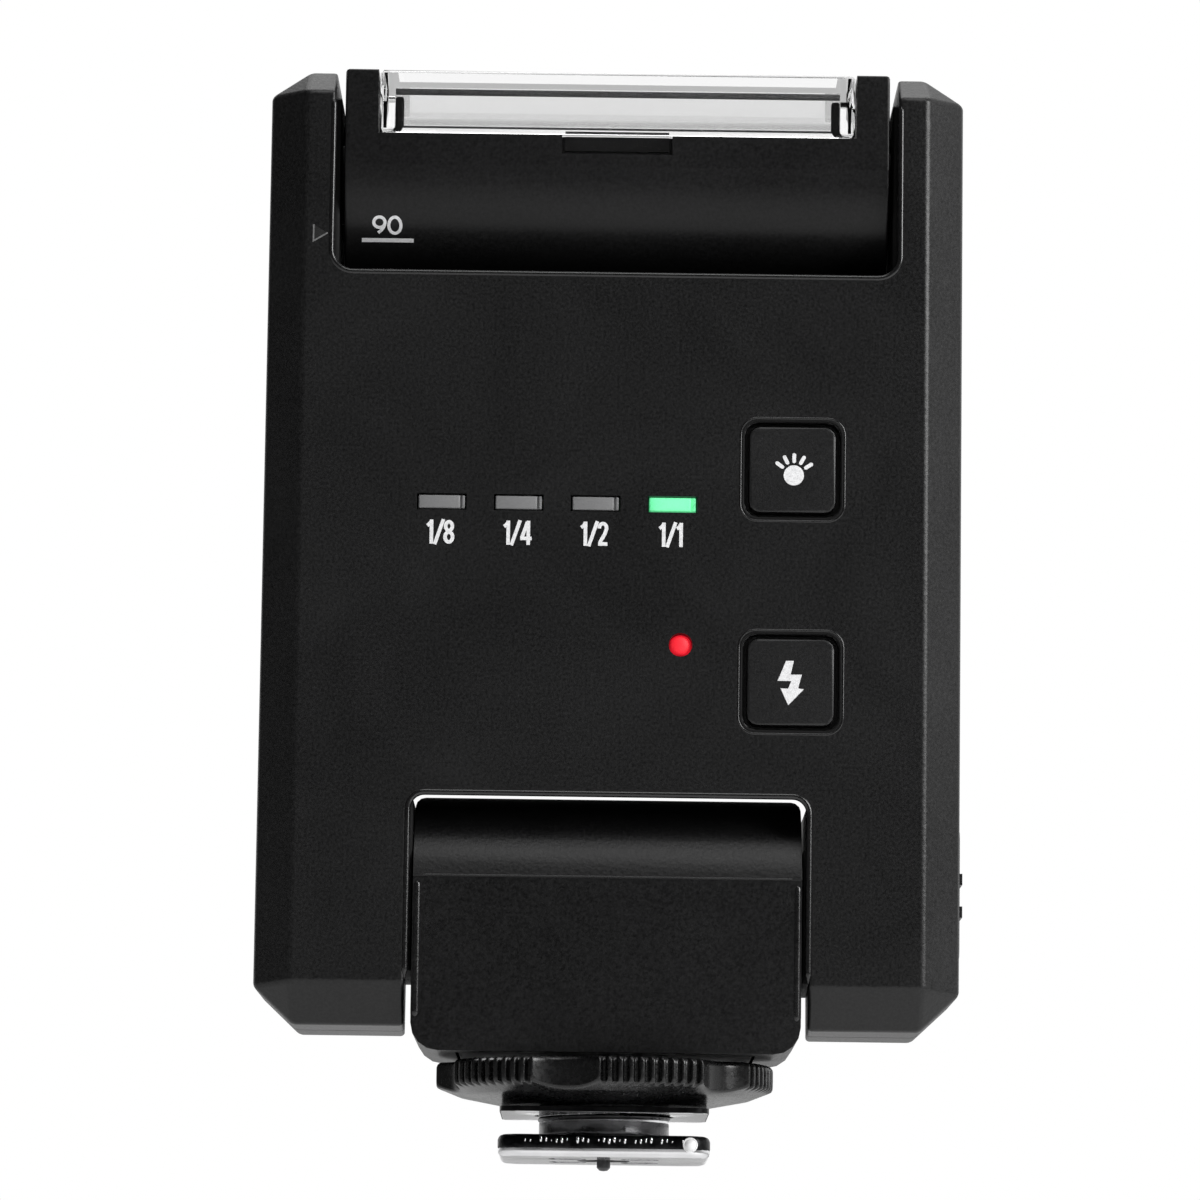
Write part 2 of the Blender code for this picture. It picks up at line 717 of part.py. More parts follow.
# ---- power slider ---------------------------------------------------------------
slider = outline(
    "power_slider",
    rounded_rect(-2.7, 2.7, SLIDER_Z0, SLIDER_Z1, (0.8,) * 4, steps=2),
    "YZ",
    (30.55, 31.4),
)
bm = bmesh.new()
for z in (22.47, 25.39):
    box_bm(bm, (31.2, 31.68), (-2.0, 2.0), (z - 0.5, z + 0.5))
box_bm(bm, (28.4, 30.8), (-0.7, 0.7), (22.9, 25.3))
boolean(slider, finish_bmesh(bm, "add_slider_ribs_and_stem", cutter=True), "UNION")
mount_on(slider, FOLD, "satin_black", origin=(31.1, 0, 23.95))
mount_on(box("slide_switch_body", (23.4, 28.0), (-2.2, 2.2), (18.8, 28.2)), FOLD, "dark_steel")
mount_on(box("switch_board", (21.2, 28.6), (2.5, 3.4), (18.6, 31.2)), FOLD, "board_green")
mount_on(box("charging_board", (-29.0, -21.2), (1.9, 2.8), (18.6, 31.2)), FOLD, "board_green")
mount_on(
    wire(
        "case_lead",
        [(21.7, 0, FOLD_Z), (22.1, 0.1, FOLD_Z + 0.15), (22.4, 0.2, FOLD_Z + 0.6), (22.4, 0.2, 30.5), (22.6, 0.9, 32.6), (23.2, 3.4, 35.6), (23.6, 4.4, 37.2), (23.8, 4.7, 38.4), (23.9, 4.8, 40.0)],
        0.35,
    ),
    FOLD,
    "wire_black",
)

# ---------------------------------------------------------------------------
# flash head: two shells, window, reflector, tube and its trunnions
# ---------------------------------------------------------------------------
def head_profile(r, half_t, ledge, top, steps=22):
    """Half-round below the axis, square above it, as (y, z) points."""
    points = [(half_t, top), (-half_t, top), (-half_t, ledge)]
    for i in range(steps + 1):
        a = math.pi + math.pi * i / steps
        points.append((r * math.cos(a), HEAD_Z + r * math.sin(a)))
    return points + [(half_t, ledge)]


head = outline(
    "head_housing",
    head_profile(HEAD_R, HEAD_HALF_T, HEAD_LEDGE_Z, HEAD_Z + HEAD_TOP),
    "YZ",
    (-HEAD_HALF_W, HEAD_HALF_W),
)
round_edges(head, 0.3, 2, 50)
settled(head)
boolean(
    head,
    outline(
        "cut_head_cavity",
        head_profile(HEAD_R - HEAD_WALL, HEAD_HALF_T - HEAD_WALL, HEAD_Z + 0.1, HEAD_Z + 1.5, 14),
        "YZ",
        (-HEAD_HALF_W + HEAD_WALL, HEAD_HALF_W - HEAD_WALL),
        cutter=True,
    ),
)
boolean(head, box("cut_head_throat", (-20.4, 20.4), (-7.75, 7.75), (HEAD_Z + 1.0, LENS_Z + 1.5), cutter=True))
boolean(head, box("cut_lens_seat", (-LENS_HALF_W - 0.15, LENS_HALF_W + 0.15), (-14, 14), (LENS_Z, 105), cutter=True))
bm = bmesh.new()
box_bm(bm, (-4.95, 4.95), (-12, -8.5), (89.4, LENS_Z + 0.5))
box_bm(bm, (-4.95, 4.95), (8.5, 12), (89.4, LENS_Z + 0.5))
boolean(head, finish_bmesh(bm, "cut_tab_pockets", cutter=True))
bm = bmesh.new()
for side in (-1, 1):
    lo, hi = sorted((side * 21.4, side * (HEAD_HALF_W - HEAD_WALL)))
    cylinder_bm(bm, "X", (0, HEAD_Z), (lo, hi), 5.1, segments=24)
boolean(head, finish_bmesh(bm, "cut_head_flange_pockets", cutter=True))
bm = bmesh.new()
for side in (-1, 1):
    lo, hi = sorted((side * 22.2, side * 25.0))
    cylinder_bm(bm, "X", (0, HEAD_Z), (lo, hi), TRUNNION_R + GAP, segments=24)
boolean(head, finish_bmesh(bm, "cut_head_bores", cutter=True))
mount_on(head, HEAD, "textured_black")

lens = box("flash_window", (-LENS_HALF_W, LENS_HALF_W), (-9.1, 9.1), (LENS_Z + 0.2, HEAD_Z + HEAD_TOP))
round_edges(lens, 0.3, 1)
boolean(lens, box("cut_window_inside", (-20.0, 20.0), (-7.8, 7.8), (88, 95.5), cutter=True))
bm = bmesh.new()
box_bm(bm, (-4.65, 4.65), (-9.0, -8.7), (89.7, LENS_Z + 0.7))
box_bm(bm, (-4.65, 4.65), (8.7, 9.0), (89.7, LENS_Z + 0.7))
boolean(lens, finish_bmesh(bm, "add_window_tabs", cutter=True), "UNION")
mount_on(lens, HEAD, "clear_lens")


def parabola(half, z0, z1, steps=7):
    """A trough's section: the widest at its mouth, as (y, z) points."""
    right = [(half * math.sqrt(i / steps), z0 + (z1 - z0) * i / steps) for i in range(1, steps + 1)]
    left = [(-y, z) for y, z in right]
    return [(0, z0)] + right + left[::-1]


reflector = outline("reflector", parabola(7.5, 81.2, 90.8), "YZ", (-19.8, 19.8))
boolean(reflector, outline("cut_reflector_inside", parabola(7.45, 81.8, 92.0), "YZ", (-19.3, 19.3), cutter=True))
TUBE_Z = 85.0
boolean(reflector, cylinder("cut_tube_holes", "X", (0, TUBE_Z), (-22, 22), 2.1, segments=16, cutter=True))
mount_on(reflector, HEAD, "mirror_aluminium")
mount_on(cylinder("xenon_tube", "X", (0, TUBE_Z), (-21.2, 21.2), 1.75, segments=18), HEAD, "tube_glass")
for side, word in ((-1, "left"), (1, "right")):
    sleeve = turned(
        f"tube_sleeve_{word}",
        [(2.05, side * 20.1), (2.7, side * 20.1), (2.7, side * 21.2), (2.05, side * 21.2)],
        "X",
        (0, TUBE_Z),
        steps=16,
    )
    mount_on(sleeve, HEAD, "rubber_grey")

trunnion = turned(
    "head_trunnion_left",
    [(0, -28.3), (5.0, -28.3), (5.0, -27.1), (TRUNNION_R, -27.1), (TRUNNION_R, -22.6), (4.8, -22.6), (4.8, -21.7), (0, -21.7)],
    "X",
    (0, HEAD_Z),
    steps=24,
)
mount_on(trunnion, HEAD, "nylon")
trunnion = turned(
    "head_trunnion_right",
    [(1.6, 21.7), (4.8, 21.7), (4.8, 22.6), (TRUNNION_R, 22.6), (TRUNNION_R, 28.3), (1.6, 28.3)],
    "X",
    (0, HEAD_Z),
    steps=24,
)
mount_on(trunnion, HEAD, "nylon")

points = []
NOTCH_ANGLES = (270, 255, 240, 225, 180)  # click stops for 90, 75, 60, 45 and 0 degrees
for i in range(72):
    a = i * 5
    notch = min(abs((a - n + 180) % 360 - 180) for n in NOTCH_ANGLES)
    r = 6.2 - (0.5 if notch < 1 else 0.0)
    points.append((r * math.cos(math.radians(a)), HEAD_Z + r * math.sin(math.radians(a))))
disc = outline("head_detent_disc", points, "YZ", (27.1, 28.1))
boolean(disc, cylinder("cut_disc_bore", "X", (0, HEAD_Z), (26, 29.4), TRUNNION_R + 0.15, segments=24, cutter=True))
mount_on(disc, HEAD, "nylon")

spring = wire(
    "head_detent_spring",
    [(27.6, y, z) for y, z in ((-6.4, 79.4), (-3.0, 79.9), (-0.9, 80.6), (-0.3, 81.2), (0.3, 81.2), (0.9, 80.6), (3.0, 79.9), (6.4, 79.4))],
    0.35,
)
mount_on(spring, FOLD, "polished_steel")
lead = wire(
    "head_lead",
    [(22.0, 0, HEAD_Z), (28.5, 0, HEAD_Z), (28.8, 0, HEAD_Z - 0.12), (28.95, 0, HEAD_Z - 0.5)]
    + [(28.95, 0, 71.0), (28.6, 0.4, 69.4), (27.8, 1.6, 68.2), (27.2, 3.4, 67.5), (27.0, 5.1, 67.4)],
    0.35,
)
mount_on(lead, FOLD, "wire_red")

# ---------------------------------------------------------------------------
# folding base: knuckle block in two shells, pins, washers and clips
# ---------------------------------------------------------------------------
def base_profile(r, half_t, bottom, step=0.0, steps=22):
    """A round knuckle over a flat-sided block that stands back by step, as (y, z)."""
    start = math.acos(half_t / r)
    ledge = FOLD_Z + r * math.sin(start)
    side = half_t - step
    points = [(-side, bottom), (side, bottom), (side, ledge - step)]
    for i in range(steps + 1):
        a = start + (math.pi - 2 * start) * i / steps
        points.append((r * math.cos(a), FOLD_Z + r * math.sin(a)))
    return points + [(-side, ledge - step)]


block = outline(
    "base_block",
    base_profile(KNUCKLE_R, BASE_HALF_T, BASE_Z0, 0.1),
    "YZ",
    (-BASE_HALF_W, BASE_HALF_W),
)
corners = outline(
    "keep_block_corners",
    rounded_rect(
        -BASE_HALF_W,
        BASE_HALF_W,
        BASE_Z0,
        FOLD_Z + KNUCKLE_R,
        (2.4, 2.4, 1.2, 1.2),
        steps=4,
    ),
    "XZ",
    (-14, 14),
    cutter=True,
)
boolean(block, corners, "INTERSECT")
settled(block)
round_edges(block, 0.35, 2, 40)
settled(block)
boolean(
    block,
    outline(
        "cut_base_cavity",
        base_profile(KNUCKLE_R - WALL, BASE_HALF_T - WALL - 0.2, BASE_Z0 + WALL, 0.01, 12),
        "YZ",
        (-BASE_HALF_W + WALL, BASE_HALF_W - WALL),
        cutter=True,
    ),
)
boolean(block, box("cut_cover_seat", (-13.2, 13.2), (-7.2, 7.2), (5, BASE_Z0 + WALL + 0.2), cutter=True))
boolean(block, box("add_block_web", (-6.0, 6.0), (-8.6, 8.6), (10.9, 16.5), cutter=True), "UNION")
bm = bmesh.new()
for sx in (-1, 1):
    for sy in (-1, 1):
        cylinder_bm(bm, "Z", (sx * SCREW_AT, sy * SCREW_AT), (7, 14.5), 1.0, segments=12)
cylinder_bm(bm, "Z", (0, 0), (7, 18), 1.7, segments=16)
BASE_HOLES = finish_bmesh(bm, "cut_base_holes", cutter=True)
boolean(block, BASE_HOLES)
bm = bmesh.new()
for side in (-1, 1):
    lo, hi = sorted((side * 14.6, side * 18.0))
    cylinder_bm(bm, "X", (0, FOLD_Z), (lo, hi), FOLD_PIN_R + GAP, segments=20)
boolean(block, finish_bmesh(bm, "cut_block_pin_bores", cutter=True))
mount_on(block, BASE, "textured_black")
cover = box("base_cover", (-12.9, 12.9), (-6.9, 6.9), (BASE_Z0, BASE_Z0 + 1.35))
boolean(cover, BASE_HOLES)
mount_on(cover, BASE, "satin_black")

for side, word in ((-1, "left"), (1, "right")):
    inner = 0 if side < 0 else 1.2
    mount_on(
        turned(
            f"fold_pin_{word}",
            [(inner, side * 13.9), (4.2, side * 13.9), (4.2, side * 15.0), (FOLD_PIN_R, side * 15.0), (FOLD_PIN_R, side * 20.8), (inner, side * 20.8)],
            "X",
            (0, FOLD_Z),
            steps=20,
        ),
        BASE,
        "polished_steel",
    )
    mount_on(
        turned(
            f"fold_washer_{word}",
            [(FOLD_PIN_R + 0.2, side * 17.2), (4.8, side * 17.2), (4.8, side * 17.52), (FOLD_PIN_R + 0.2, side * 17.52)],
            "X",
            (0, FOLD_Z),
            steps=20,
        ),
        BASE,
        "nylon",
    )
    mount_on(
        turned(
            f"fold_clip_{word}",
            [(FOLD_PIN_R + 0.15, side * 20.1), (4.0, side * 20.1), (4.0, side * 20.5), (FOLD_PIN_R + 0.15, side * 20.5)],
            "X",
            (0, FOLD_Z),
            steps=20,
        ),
        BASE,
        "dark_steel",
    )

# ---------------------------------------------------------------------------
# shoe foot, contact and screws
# ---------------------------------------------------------------------------
foot = outline(
    "shoe_foot",
    rounded_rect(-FOOT_W / 2, FOOT_W / 2, -FOOT_L / 2, FOOT_L / 2, (2.2,) * 4, steps=4),
    "XY",
    (0, FOOT_T),
)
round_edges(foot, 0.5, 3, 50)
boolean(foot, cylinder("add_foot_neck", "Z", (0, 0), (FOOT_T - 0.6, BASE_Z0 - 0.15), NECK_R, segments=32, cutter=True), "UNION")
bm = bmesh.new()
cylinder_bm(bm, "Z", (0, 0), (-1, 10), 2.4, segments=20)
for sx in (-1, 1):
    for sy in (-1, 1):
        cylinder_bm(bm, "Z", (sx * SCREW_AT, sy * SCREW_AT), (1.3, 10), 1.0, segments=12)
boolean(foot, finish_bmesh(bm, "cut_foot_bores", cutter=True))
bm = bmesh.new()
for sx in (-1, 1):
    for sy in (-1, 1):
        cylinder_bm(bm, "Z", (sx * SCREW_AT, sy * SCREW_AT), (-1, 1.301), 1.7, segments=16)
boolean(foot, finish_bmesh(bm, "cut_foot_counterbores", cutter=True))
mount_on(foot, BASE, "polished_steel")

n = 0
for sx in (-1, 1):
    for sy in (-1, 1):
        n += 1
        screw = turned(
            f"foot_screw_{n}",
            [(0, 0.15), (1.2, 0.15), (1.4, 0.35), (1.4, 1.0), (0.7, 1.15), (0.7, 13.0), (0.3, 13.5), (0, 13.5)],
            "Z",
            (sx * SCREW_AT, sy * SCREW_AT),
            steps=16,
        )
        bm = bmesh.new()
        box_bm(bm, (sx * SCREW_AT - 0.8, sx * SCREW_AT + 0.8), (sy * SCREW_AT - 0.14, sy * SCREW_AT + 0.14), (-0.5, 0.5))
        boolean(screw, finish_bmesh(bm, f"cut_foot_screw_slot_{n}", cutter=True))
        mount_on(screw, BASE, "dark_steel")

mount_on(
    turned(
        "contact_insulator",
        [(0.9, 0.05), (2.1, 0.05), (2.1, 8.5), (1.5, 8.5), (1.5, 1.2), (0.9, 1.2)],
        "Z",
        (0, 0),
        steps=20,
    ),
    BASE,
    "nylon",
)
mount_on(
    turned(
        "contact_pin",
        [(0, -0.9), (0.35, -0.85), (0.6, -0.6), (0.6, 1.5), (1.2, 1.5), (1.2, 2.3), (0.5, 2.3), (0.5, 2.9), (0, 2.9)],
        "Z",
        (0, 0),
        steps=16,
    ),
    BASE,
    "brass",
)
coil = []
TURNS, PER_TURN = 5, 10
for i in range(TURNS * PER_TURN + 1):
    a = 2 * math.pi * i / PER_TURN
    coil.append((0.95 * math.cos(a), 0.95 * math.sin(a), 2.62 + (7.5 - 2.62) * i / (TURNS * PER_TURN)))
mount_on(wire("contact_spring", coil, 0.16, resolution=0), BASE, "polished_steel")
mount_on(
    turned("contact_terminal", [(0, 7.9), (1.2, 7.9), (1.2, 8.3), (0.5, 8.3), (0.5, 9.2), (0, 9.2)], "Z", (0, 0), steps=16),
    BASE,
    "brass",
)
mount_on(
    wire(
        "shoe_lead",
        [(0, 0, 9.5), (0, 0, 16.9), (0.4, 0, 17.8), (2.5, 0.3, 19.5), (6.0, 0.4, 20.8), (10.5, 0.1, 21.7), (12.6, 0, FOLD_Z), (21.2, 0, FOLD_Z)],
        0.4,
    ),
    BASE,
    "wire_black",
)

# ---------------------------------------------------------------------------
# lock: pressure plate and knurled wheel on the neck
# ---------------------------------------------------------------------------
plate = outline(
    "pressure_plate",
    rounded_rect(-9.2, 9.2, -8.6, 8.6, (1.4,) * 4, steps=3),
    "XY",
    (PLATE_Z0, PLATE_Z1),
)
boolean(plate, cylinder("cut_plate_bore", "Z", (0, 0), (2, 6), NECK_R + GAP, segments=32, cutter=True))
mount_on(plate, LOCK, "dark_steel")


def wheel_outline():
    """Six smooth scallops with a band of fine ribs between each pair."""
    points = []
    pitch = 360 / WHEEL_SCALLOPS
    scallop = 24.5
    first = -90 - 14.0  # the scallop left of centre, seen from the panel side
    for k in range(WHEEL_SCALLOPS):
        centre = first + k * pitch
        for i in range(7):
            s = -1 + 2 * i / 6
            r = WHEEL_R - 1.35 * (1 - s * s)
            a = math.radians(centre + s * scallop / 2)
            points.append((r * math.cos(a), r * math.sin(a)))
        band = pitch - scallop
        step = band / WHEEL_RIBS
        for j in range(WHEEL_RIBS):
            left = centre + scallop / 2 + j * step
            for share, r in ((0.28, WHEEL_R), (0.36, WHEEL_R - 0.35), (0.64, WHEEL_R - 0.35), (0.72, WHEEL_R)):
                a = math.radians(left + share * step)
                points.append((r * math.cos(a), r * math.sin(a)))
    return points


wheel = outline("lock_wheel", wheel_outline(), "XY", (WHEEL_Z0, WHEEL_Z1))
body = turned(
    "keep_wheel_profile",
    [
        (NECK_R + GAP, WHEEL_Z0),
        (9.0, WHEEL_Z0),
        (WHEEL_R + 0.05, WHEEL_RIM_Z),
        (WHEEL_R + 0.05, WHEEL_Z1 - 0.35),
        (WHEEL_R - 0.4, WHEEL_Z1),
        (NECK_R + GAP, WHEEL_Z1),
    ],
    "Z",
    (0, 0),
    steps=48,
    cutter=True,
)
boolean(wheel, body, "INTERSECT")
mount_on(wheel, LOCK, "satin_black")

for obj in list(PARTS.objects):
    if obj.type == "MESH" and obj.data.users == 1:
        obj.data.name = obj.name
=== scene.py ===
"""Speedlight flash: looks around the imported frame. Metres, +Z up, control side faces -Y."""

import math

import bmesh
import bpy
from mathutils import Matrix, Vector, noise


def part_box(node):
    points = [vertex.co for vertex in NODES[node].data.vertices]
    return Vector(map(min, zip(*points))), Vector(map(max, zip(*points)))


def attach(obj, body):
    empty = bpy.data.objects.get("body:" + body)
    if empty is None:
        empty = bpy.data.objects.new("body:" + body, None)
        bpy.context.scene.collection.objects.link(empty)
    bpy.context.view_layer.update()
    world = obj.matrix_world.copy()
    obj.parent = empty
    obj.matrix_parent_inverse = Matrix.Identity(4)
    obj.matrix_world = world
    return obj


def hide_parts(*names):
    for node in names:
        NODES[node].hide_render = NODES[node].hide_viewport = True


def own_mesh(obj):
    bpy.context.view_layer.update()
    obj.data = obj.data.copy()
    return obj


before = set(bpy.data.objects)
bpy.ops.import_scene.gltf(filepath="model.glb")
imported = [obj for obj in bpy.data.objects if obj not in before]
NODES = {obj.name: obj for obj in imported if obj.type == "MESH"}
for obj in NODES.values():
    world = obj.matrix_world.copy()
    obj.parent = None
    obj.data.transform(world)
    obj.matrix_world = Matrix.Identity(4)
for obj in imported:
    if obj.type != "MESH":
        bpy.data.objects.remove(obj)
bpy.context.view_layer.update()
MM = 0.001


# ---------------------------------------------------------------------------
# node materials
# ---------------------------------------------------------------------------
class Graph:
    """A small wrapper, so that a material reads as a list of its layers."""

    def __init__(self, name):
        self.mat = bpy.data.materials.new(name)
        self.mat.use_nodes = True
        self.tree = self.mat.node_tree
        self.shader = self.tree.nodes["Principled BSDF"]
        self.coords = self.tree.nodes.new("ShaderNodeTexCoord").outputs["Object"]

    def node(self, kind, **settings):
        made = self.tree.nodes.new(kind)
        for key, value in settings.items():
            setattr(made, key, value)
        return made

    def link(self, a, b):
        self.tree.links.new(a, b)

    def scaled(self, factors, turn=(0, 0, 0)):
        mapping = self.node("ShaderNodeMapping")
        mapping.inputs["Scale"].default_value = factors
        mapping.inputs["Rotation"].default_value = turn
        self.link(self.coords, mapping.inputs["Vector"])
        return mapping.outputs["Vector"]

    def noise(self, scale, detail=4.0, rough=0.5, vector=None, distortion=0.0):
        made = self.node("ShaderNodeTexNoise")
        made.inputs["Scale"].default_value = scale
        made.inputs["Detail"].default_value = detail
        made.inputs["Roughness"].default_value = rough
        made.inputs["Distortion"].default_value = distortion
        self.link(vector or self.coords, made.inputs["Vector"])
        return made.outputs["Fac"]

    def voronoi(self, scale, feature="F1", vector=None, randomness=1.0):
        made = self.node("ShaderNodeTexVoronoi", feature=feature)
        made.inputs["Scale"].default_value = scale
        made.inputs["Randomness"].default_value = randomness
        self.link(vector or self.coords, made.inputs["Vector"])
        return made.outputs["Distance"]

    def wave(self, scale, direction="X", distortion=0.0, vector=None):
        made = self.node("ShaderNodeTexWave", bands_direction=direction)
        made.inputs["Scale"].default_value = scale
        made.inputs["Distortion"].default_value = distortion
        self.link(vector or self.coords, made.inputs["Vector"])
        return made.outputs["Fac"]

    def ramp(self, factor, stops):
        made = self.node("ShaderNodeValToRGB")
        elements = made.color_ramp.elements
        while len(elements) < len(stops):
            elements.new(0.5)
        for element, (position, colour) in zip(elements, stops):
            element.position = position
            element.color = (*colour, 1.0) if len(colour) == 3 else colour
        self.link(factor, made.inputs["Fac"])
        return made.outputs["Color"]

    def span(self, factor, low, high, start=0.0, end=1.0):
        made = self.node("ShaderNodeMapRange")
        made.inputs["From Min"].default_value = start
        made.inputs["From Max"].default_value = end
        made.inputs["To Min"].default_value = low
        made.inputs["To Max"].default_value = high
        self.link(factor, made.inputs["Value"])
        return made.outputs["Result"]

    def maths(self, operation, a, b):
        made = self.node("ShaderNodeMath", operation=operation)
        for socket, value in zip(made.inputs, (a, b)):
            if isinstance(value, (int, float)):
                socket.default_value = value
            else:
                self.link(value, socket)
        return made.outputs["Value"]

    def mix(self, factor, a, b):
        made = self.node("ShaderNodeMix", data_type="RGBA")
        self.link(factor, made.inputs["Factor"])
        for name, value in (("A", a), ("B", b)):
            socket = next(s for s in made.inputs if s.name == name and s.type == "RGBA")
            if isinstance(value, tuple):
                socket.default_value = (*value, 1.0)
            else:
                self.link(value, socket)
        return next(s for s in made.outputs if s.type == "RGBA")

    def bump(self, height, strength, distance_mm, normal=None):
        made = self.node("ShaderNodeBump")
        made.inputs["Strength"].default_value = strength
        made.inputs["Distance"].default_value = distance_mm * MM
        self.link(height, made.inputs["Height"])
        if normal is not None:
            self.link(normal, made.inputs["Normal"])
        return made.outputs["Normal"]

    def put(self, name, value):
        socket = self.shader.inputs[name]
        if isinstance(value, bpy.types.NodeSocket):
            self.link(value, socket)
        else:
            socket.default_value = value

    def axis(self, letter):
        made = self.node("ShaderNodeSeparateXYZ")
        self.link(self.coords, made.inputs["Vector"])
        return made.outputs[letter]


def moulded(name, dark, light, rough, grain_mm=0.28, depth=0.45, height_mm=0.035, specular=0.5):
    """Spark-eroded moulded plastic: two sizes of grain in the surface, faint flow clouding in the colour and the gloss."""
    g = Graph(name)
    fine = g.noise(1000 / grain_mm, 3.0, 0.6)
    pits = g.voronoi(620 / grain_mm)
    cloud = g.noise(55, 3.0, 0.6, distortion=0.6)
    shade = g.maths("ADD", g.maths("MULTIPLY", fine, 0.75), g.maths("MULTIPLY", cloud, 0.25))
    g.put("Base Color", g.ramp(shade, [(0.32, dark), (0.5, tuple((a + b) / 2 for a, b in zip(dark, light))), (0.68, light)]))
    gloss = g.maths("ADD", g.span(cloud, rough[0], rough[1], 0.3, 0.7), g.span(fine, -0.05, 0.05, 0.3, 0.7))
    g.put("Roughness", gloss)
    relief = g.maths("ADD", g.maths("MULTIPLY", fine, 0.7), g.maths("MULTIPLY", pits, 0.5))
    g.put("Normal", g.bump(relief, depth, height_mm))
    g.put("Specular IOR Level", specular)
    return g.mat


def metal(name, low, high, rough, brush=(1, 1, 1), brush_scale=900, scratch=0.15, pits=0.0):
    """Metal with a brushed or blasted grain, worn spots and fine scratches."""
    g = Graph(name)
    lines = g.noise(brush_scale, 4.0, 0.65, vector=g.scaled(brush))
    spots = g.noise(260, 4.0, 0.6, distortion=0.8)
    g.put("Base Color", g.ramp(g.maths("ADD", g.maths("MULTIPLY", lines, 0.5), g.maths("MULTIPLY", spots, 0.5)), [(0.3, low), (0.7, high)]))
    g.put("Roughness", g.maths("ADD", g.span(lines, rough[0], rough[1], 0.3, 0.7), g.span(spots, -0.05, 0.06, 0.3, 0.7)))
    g.put("Metallic", 1.0)
    relief = g.maths("ADD", g.maths("MULTIPLY", lines, 0.5), g.maths("MULTIPLY", g.voronoi(2600), pits))
    g.put("Normal", g.bump(relief, scratch, 0.02))
    return g.mat


def lit_window(name, edge, centre, glow, strength, x0, x1, z0, z1, rough=(0.34, 0.5)):
    """A light-diffusing window: its colour falls from a light centre to darker ends and edges, painted shade from the
    window's recess; when lit, the lamp behind it also shows by emission as a soft hot centre that falls off to the
    ends.
    """
    g = Graph(name)
    across = g.maths("ABSOLUTE", g.span(g.axis("X"), -1, 1, x0, x1), 0)
    up = g.maths("ABSOLUTE", g.span(g.axis("Z"), -1, 1, z0, z1), 0)
    glow_and_shade_falloff = g.maths("MAXIMUM", g.maths("POWER", across, 2.2), g.maths("POWER", up, 2.6))
    milk = g.noise(2600, 4.0, 0.6)
    glow_and_shade_falloff = g.maths("ADD", glow_and_shade_falloff, g.span(milk, -0.12, 0.12, 0.3, 0.7))
    # painted shade: the colour darkens from the centre towards the window's ends and edges
    g.put("Base Color", g.ramp(glow_and_shade_falloff, [(0.0, centre), (0.75, centre), (1.0, edge)]))
    g.put("Roughness", g.span(milk, rough[0], rough[1], 0.3, 0.7))
    g.put("Normal", g.bump(milk, 0.15, 0.02))
    if strength:
        g.put("Emission Color", g.ramp(glow_and_shade_falloff, [(0.0, glow[0]), (0.55, glow[1]), (1.0, glow[2])]))
        g.put("Emission Strength", strength)
    return g.mat


def see_through(name, tint, rough, ior):
    g = Graph(name)
    haze = g.noise(420, 4.0, 0.6)
    g.put("Base Color", g.ramp(haze, [(0.3, tuple(c * 0.992 for c in tint)), (0.7, tint)]))
    g.put("Roughness", g.span(haze, rough[0], rough[1], 0.35, 0.65))
    g.put("Transmission Weight", 1.0)
    g.put("IOR", ior)
    g.put("Normal", g.bump(g.noise(160, 2.0), 0.03, 0.02))
    return g.mat


def board(name):
    """Printed circuit board: solder mask over tracks, with copper pads showing."""
    g = Graph(name)
    tracks = g.wave(330, "DIAGONAL", 3.0)
    pads = g.voronoi(480, randomness=0.25)
    mask = g.ramp(tracks, [(0.42, (0.008, 0.055, 0.022)), (0.55, (0.016, 0.11, 0.045))])
    pad = g.span(pads, 1.0, 0.0, 0.16, 0.2)
    g.put("Base Color", g.mix(pad, mask, (0.62, 0.5, 0.26)))
    g.put("Roughness", g.span(g.noise(900), 0.25, 0.5, 0.3, 0.7))
    g.put("Normal", g.bump(tracks, 0.3, 0.03))
    return g.mat


def sleeve(name, dark, light, rough):
    """Shrink sleeve or wrap: smooth film with faint creases along it."""
    g = Graph(name)
    crease = g.noise(300, 5.0, 0.6, vector=g.scaled((1.0, 1.0, 0.12)), distortion=0.4)
    g.put("Base Color", g.ramp(crease, [(0.3, dark), (0.7, light)]))
    g.put("Roughness", g.span(crease, rough[0], rough[1], 0.3, 0.7))
    g.put("Normal", g.bump(crease, 0.25, 0.05))
    return g.mat


def ink(name, low, high):
    """Pad-printed ink: slightly uneven cover, with the grain of the plastic showing through at the thin spots."""
    g = Graph(name)
    cover = g.noise(3200, 3.0, 0.6)
    g.put("Base Color", g.ramp(cover, [(0.25, low), (0.55, high)]))
    g.put("Roughness", g.span(cover, 0.45, 0.65, 0.3, 0.7))
    g.put("Normal", g.bump(cover, 0.2, 0.01))
    return g.mat


CASE = moulded("case_plastic", (0.0004, 0.0004, 0.0005), (0.0112, 0.0112, 0.0115), (0.34, 0.4), 0.25, 0.6, 0.034, 0.4)
BASE = moulded("base_plastic", (0.0006, 0.0006, 0.0007), (0.0098, 0.0098, 0.0101), (0.35, 0.4), 0.25, 0.6, 0.03, 0.32)
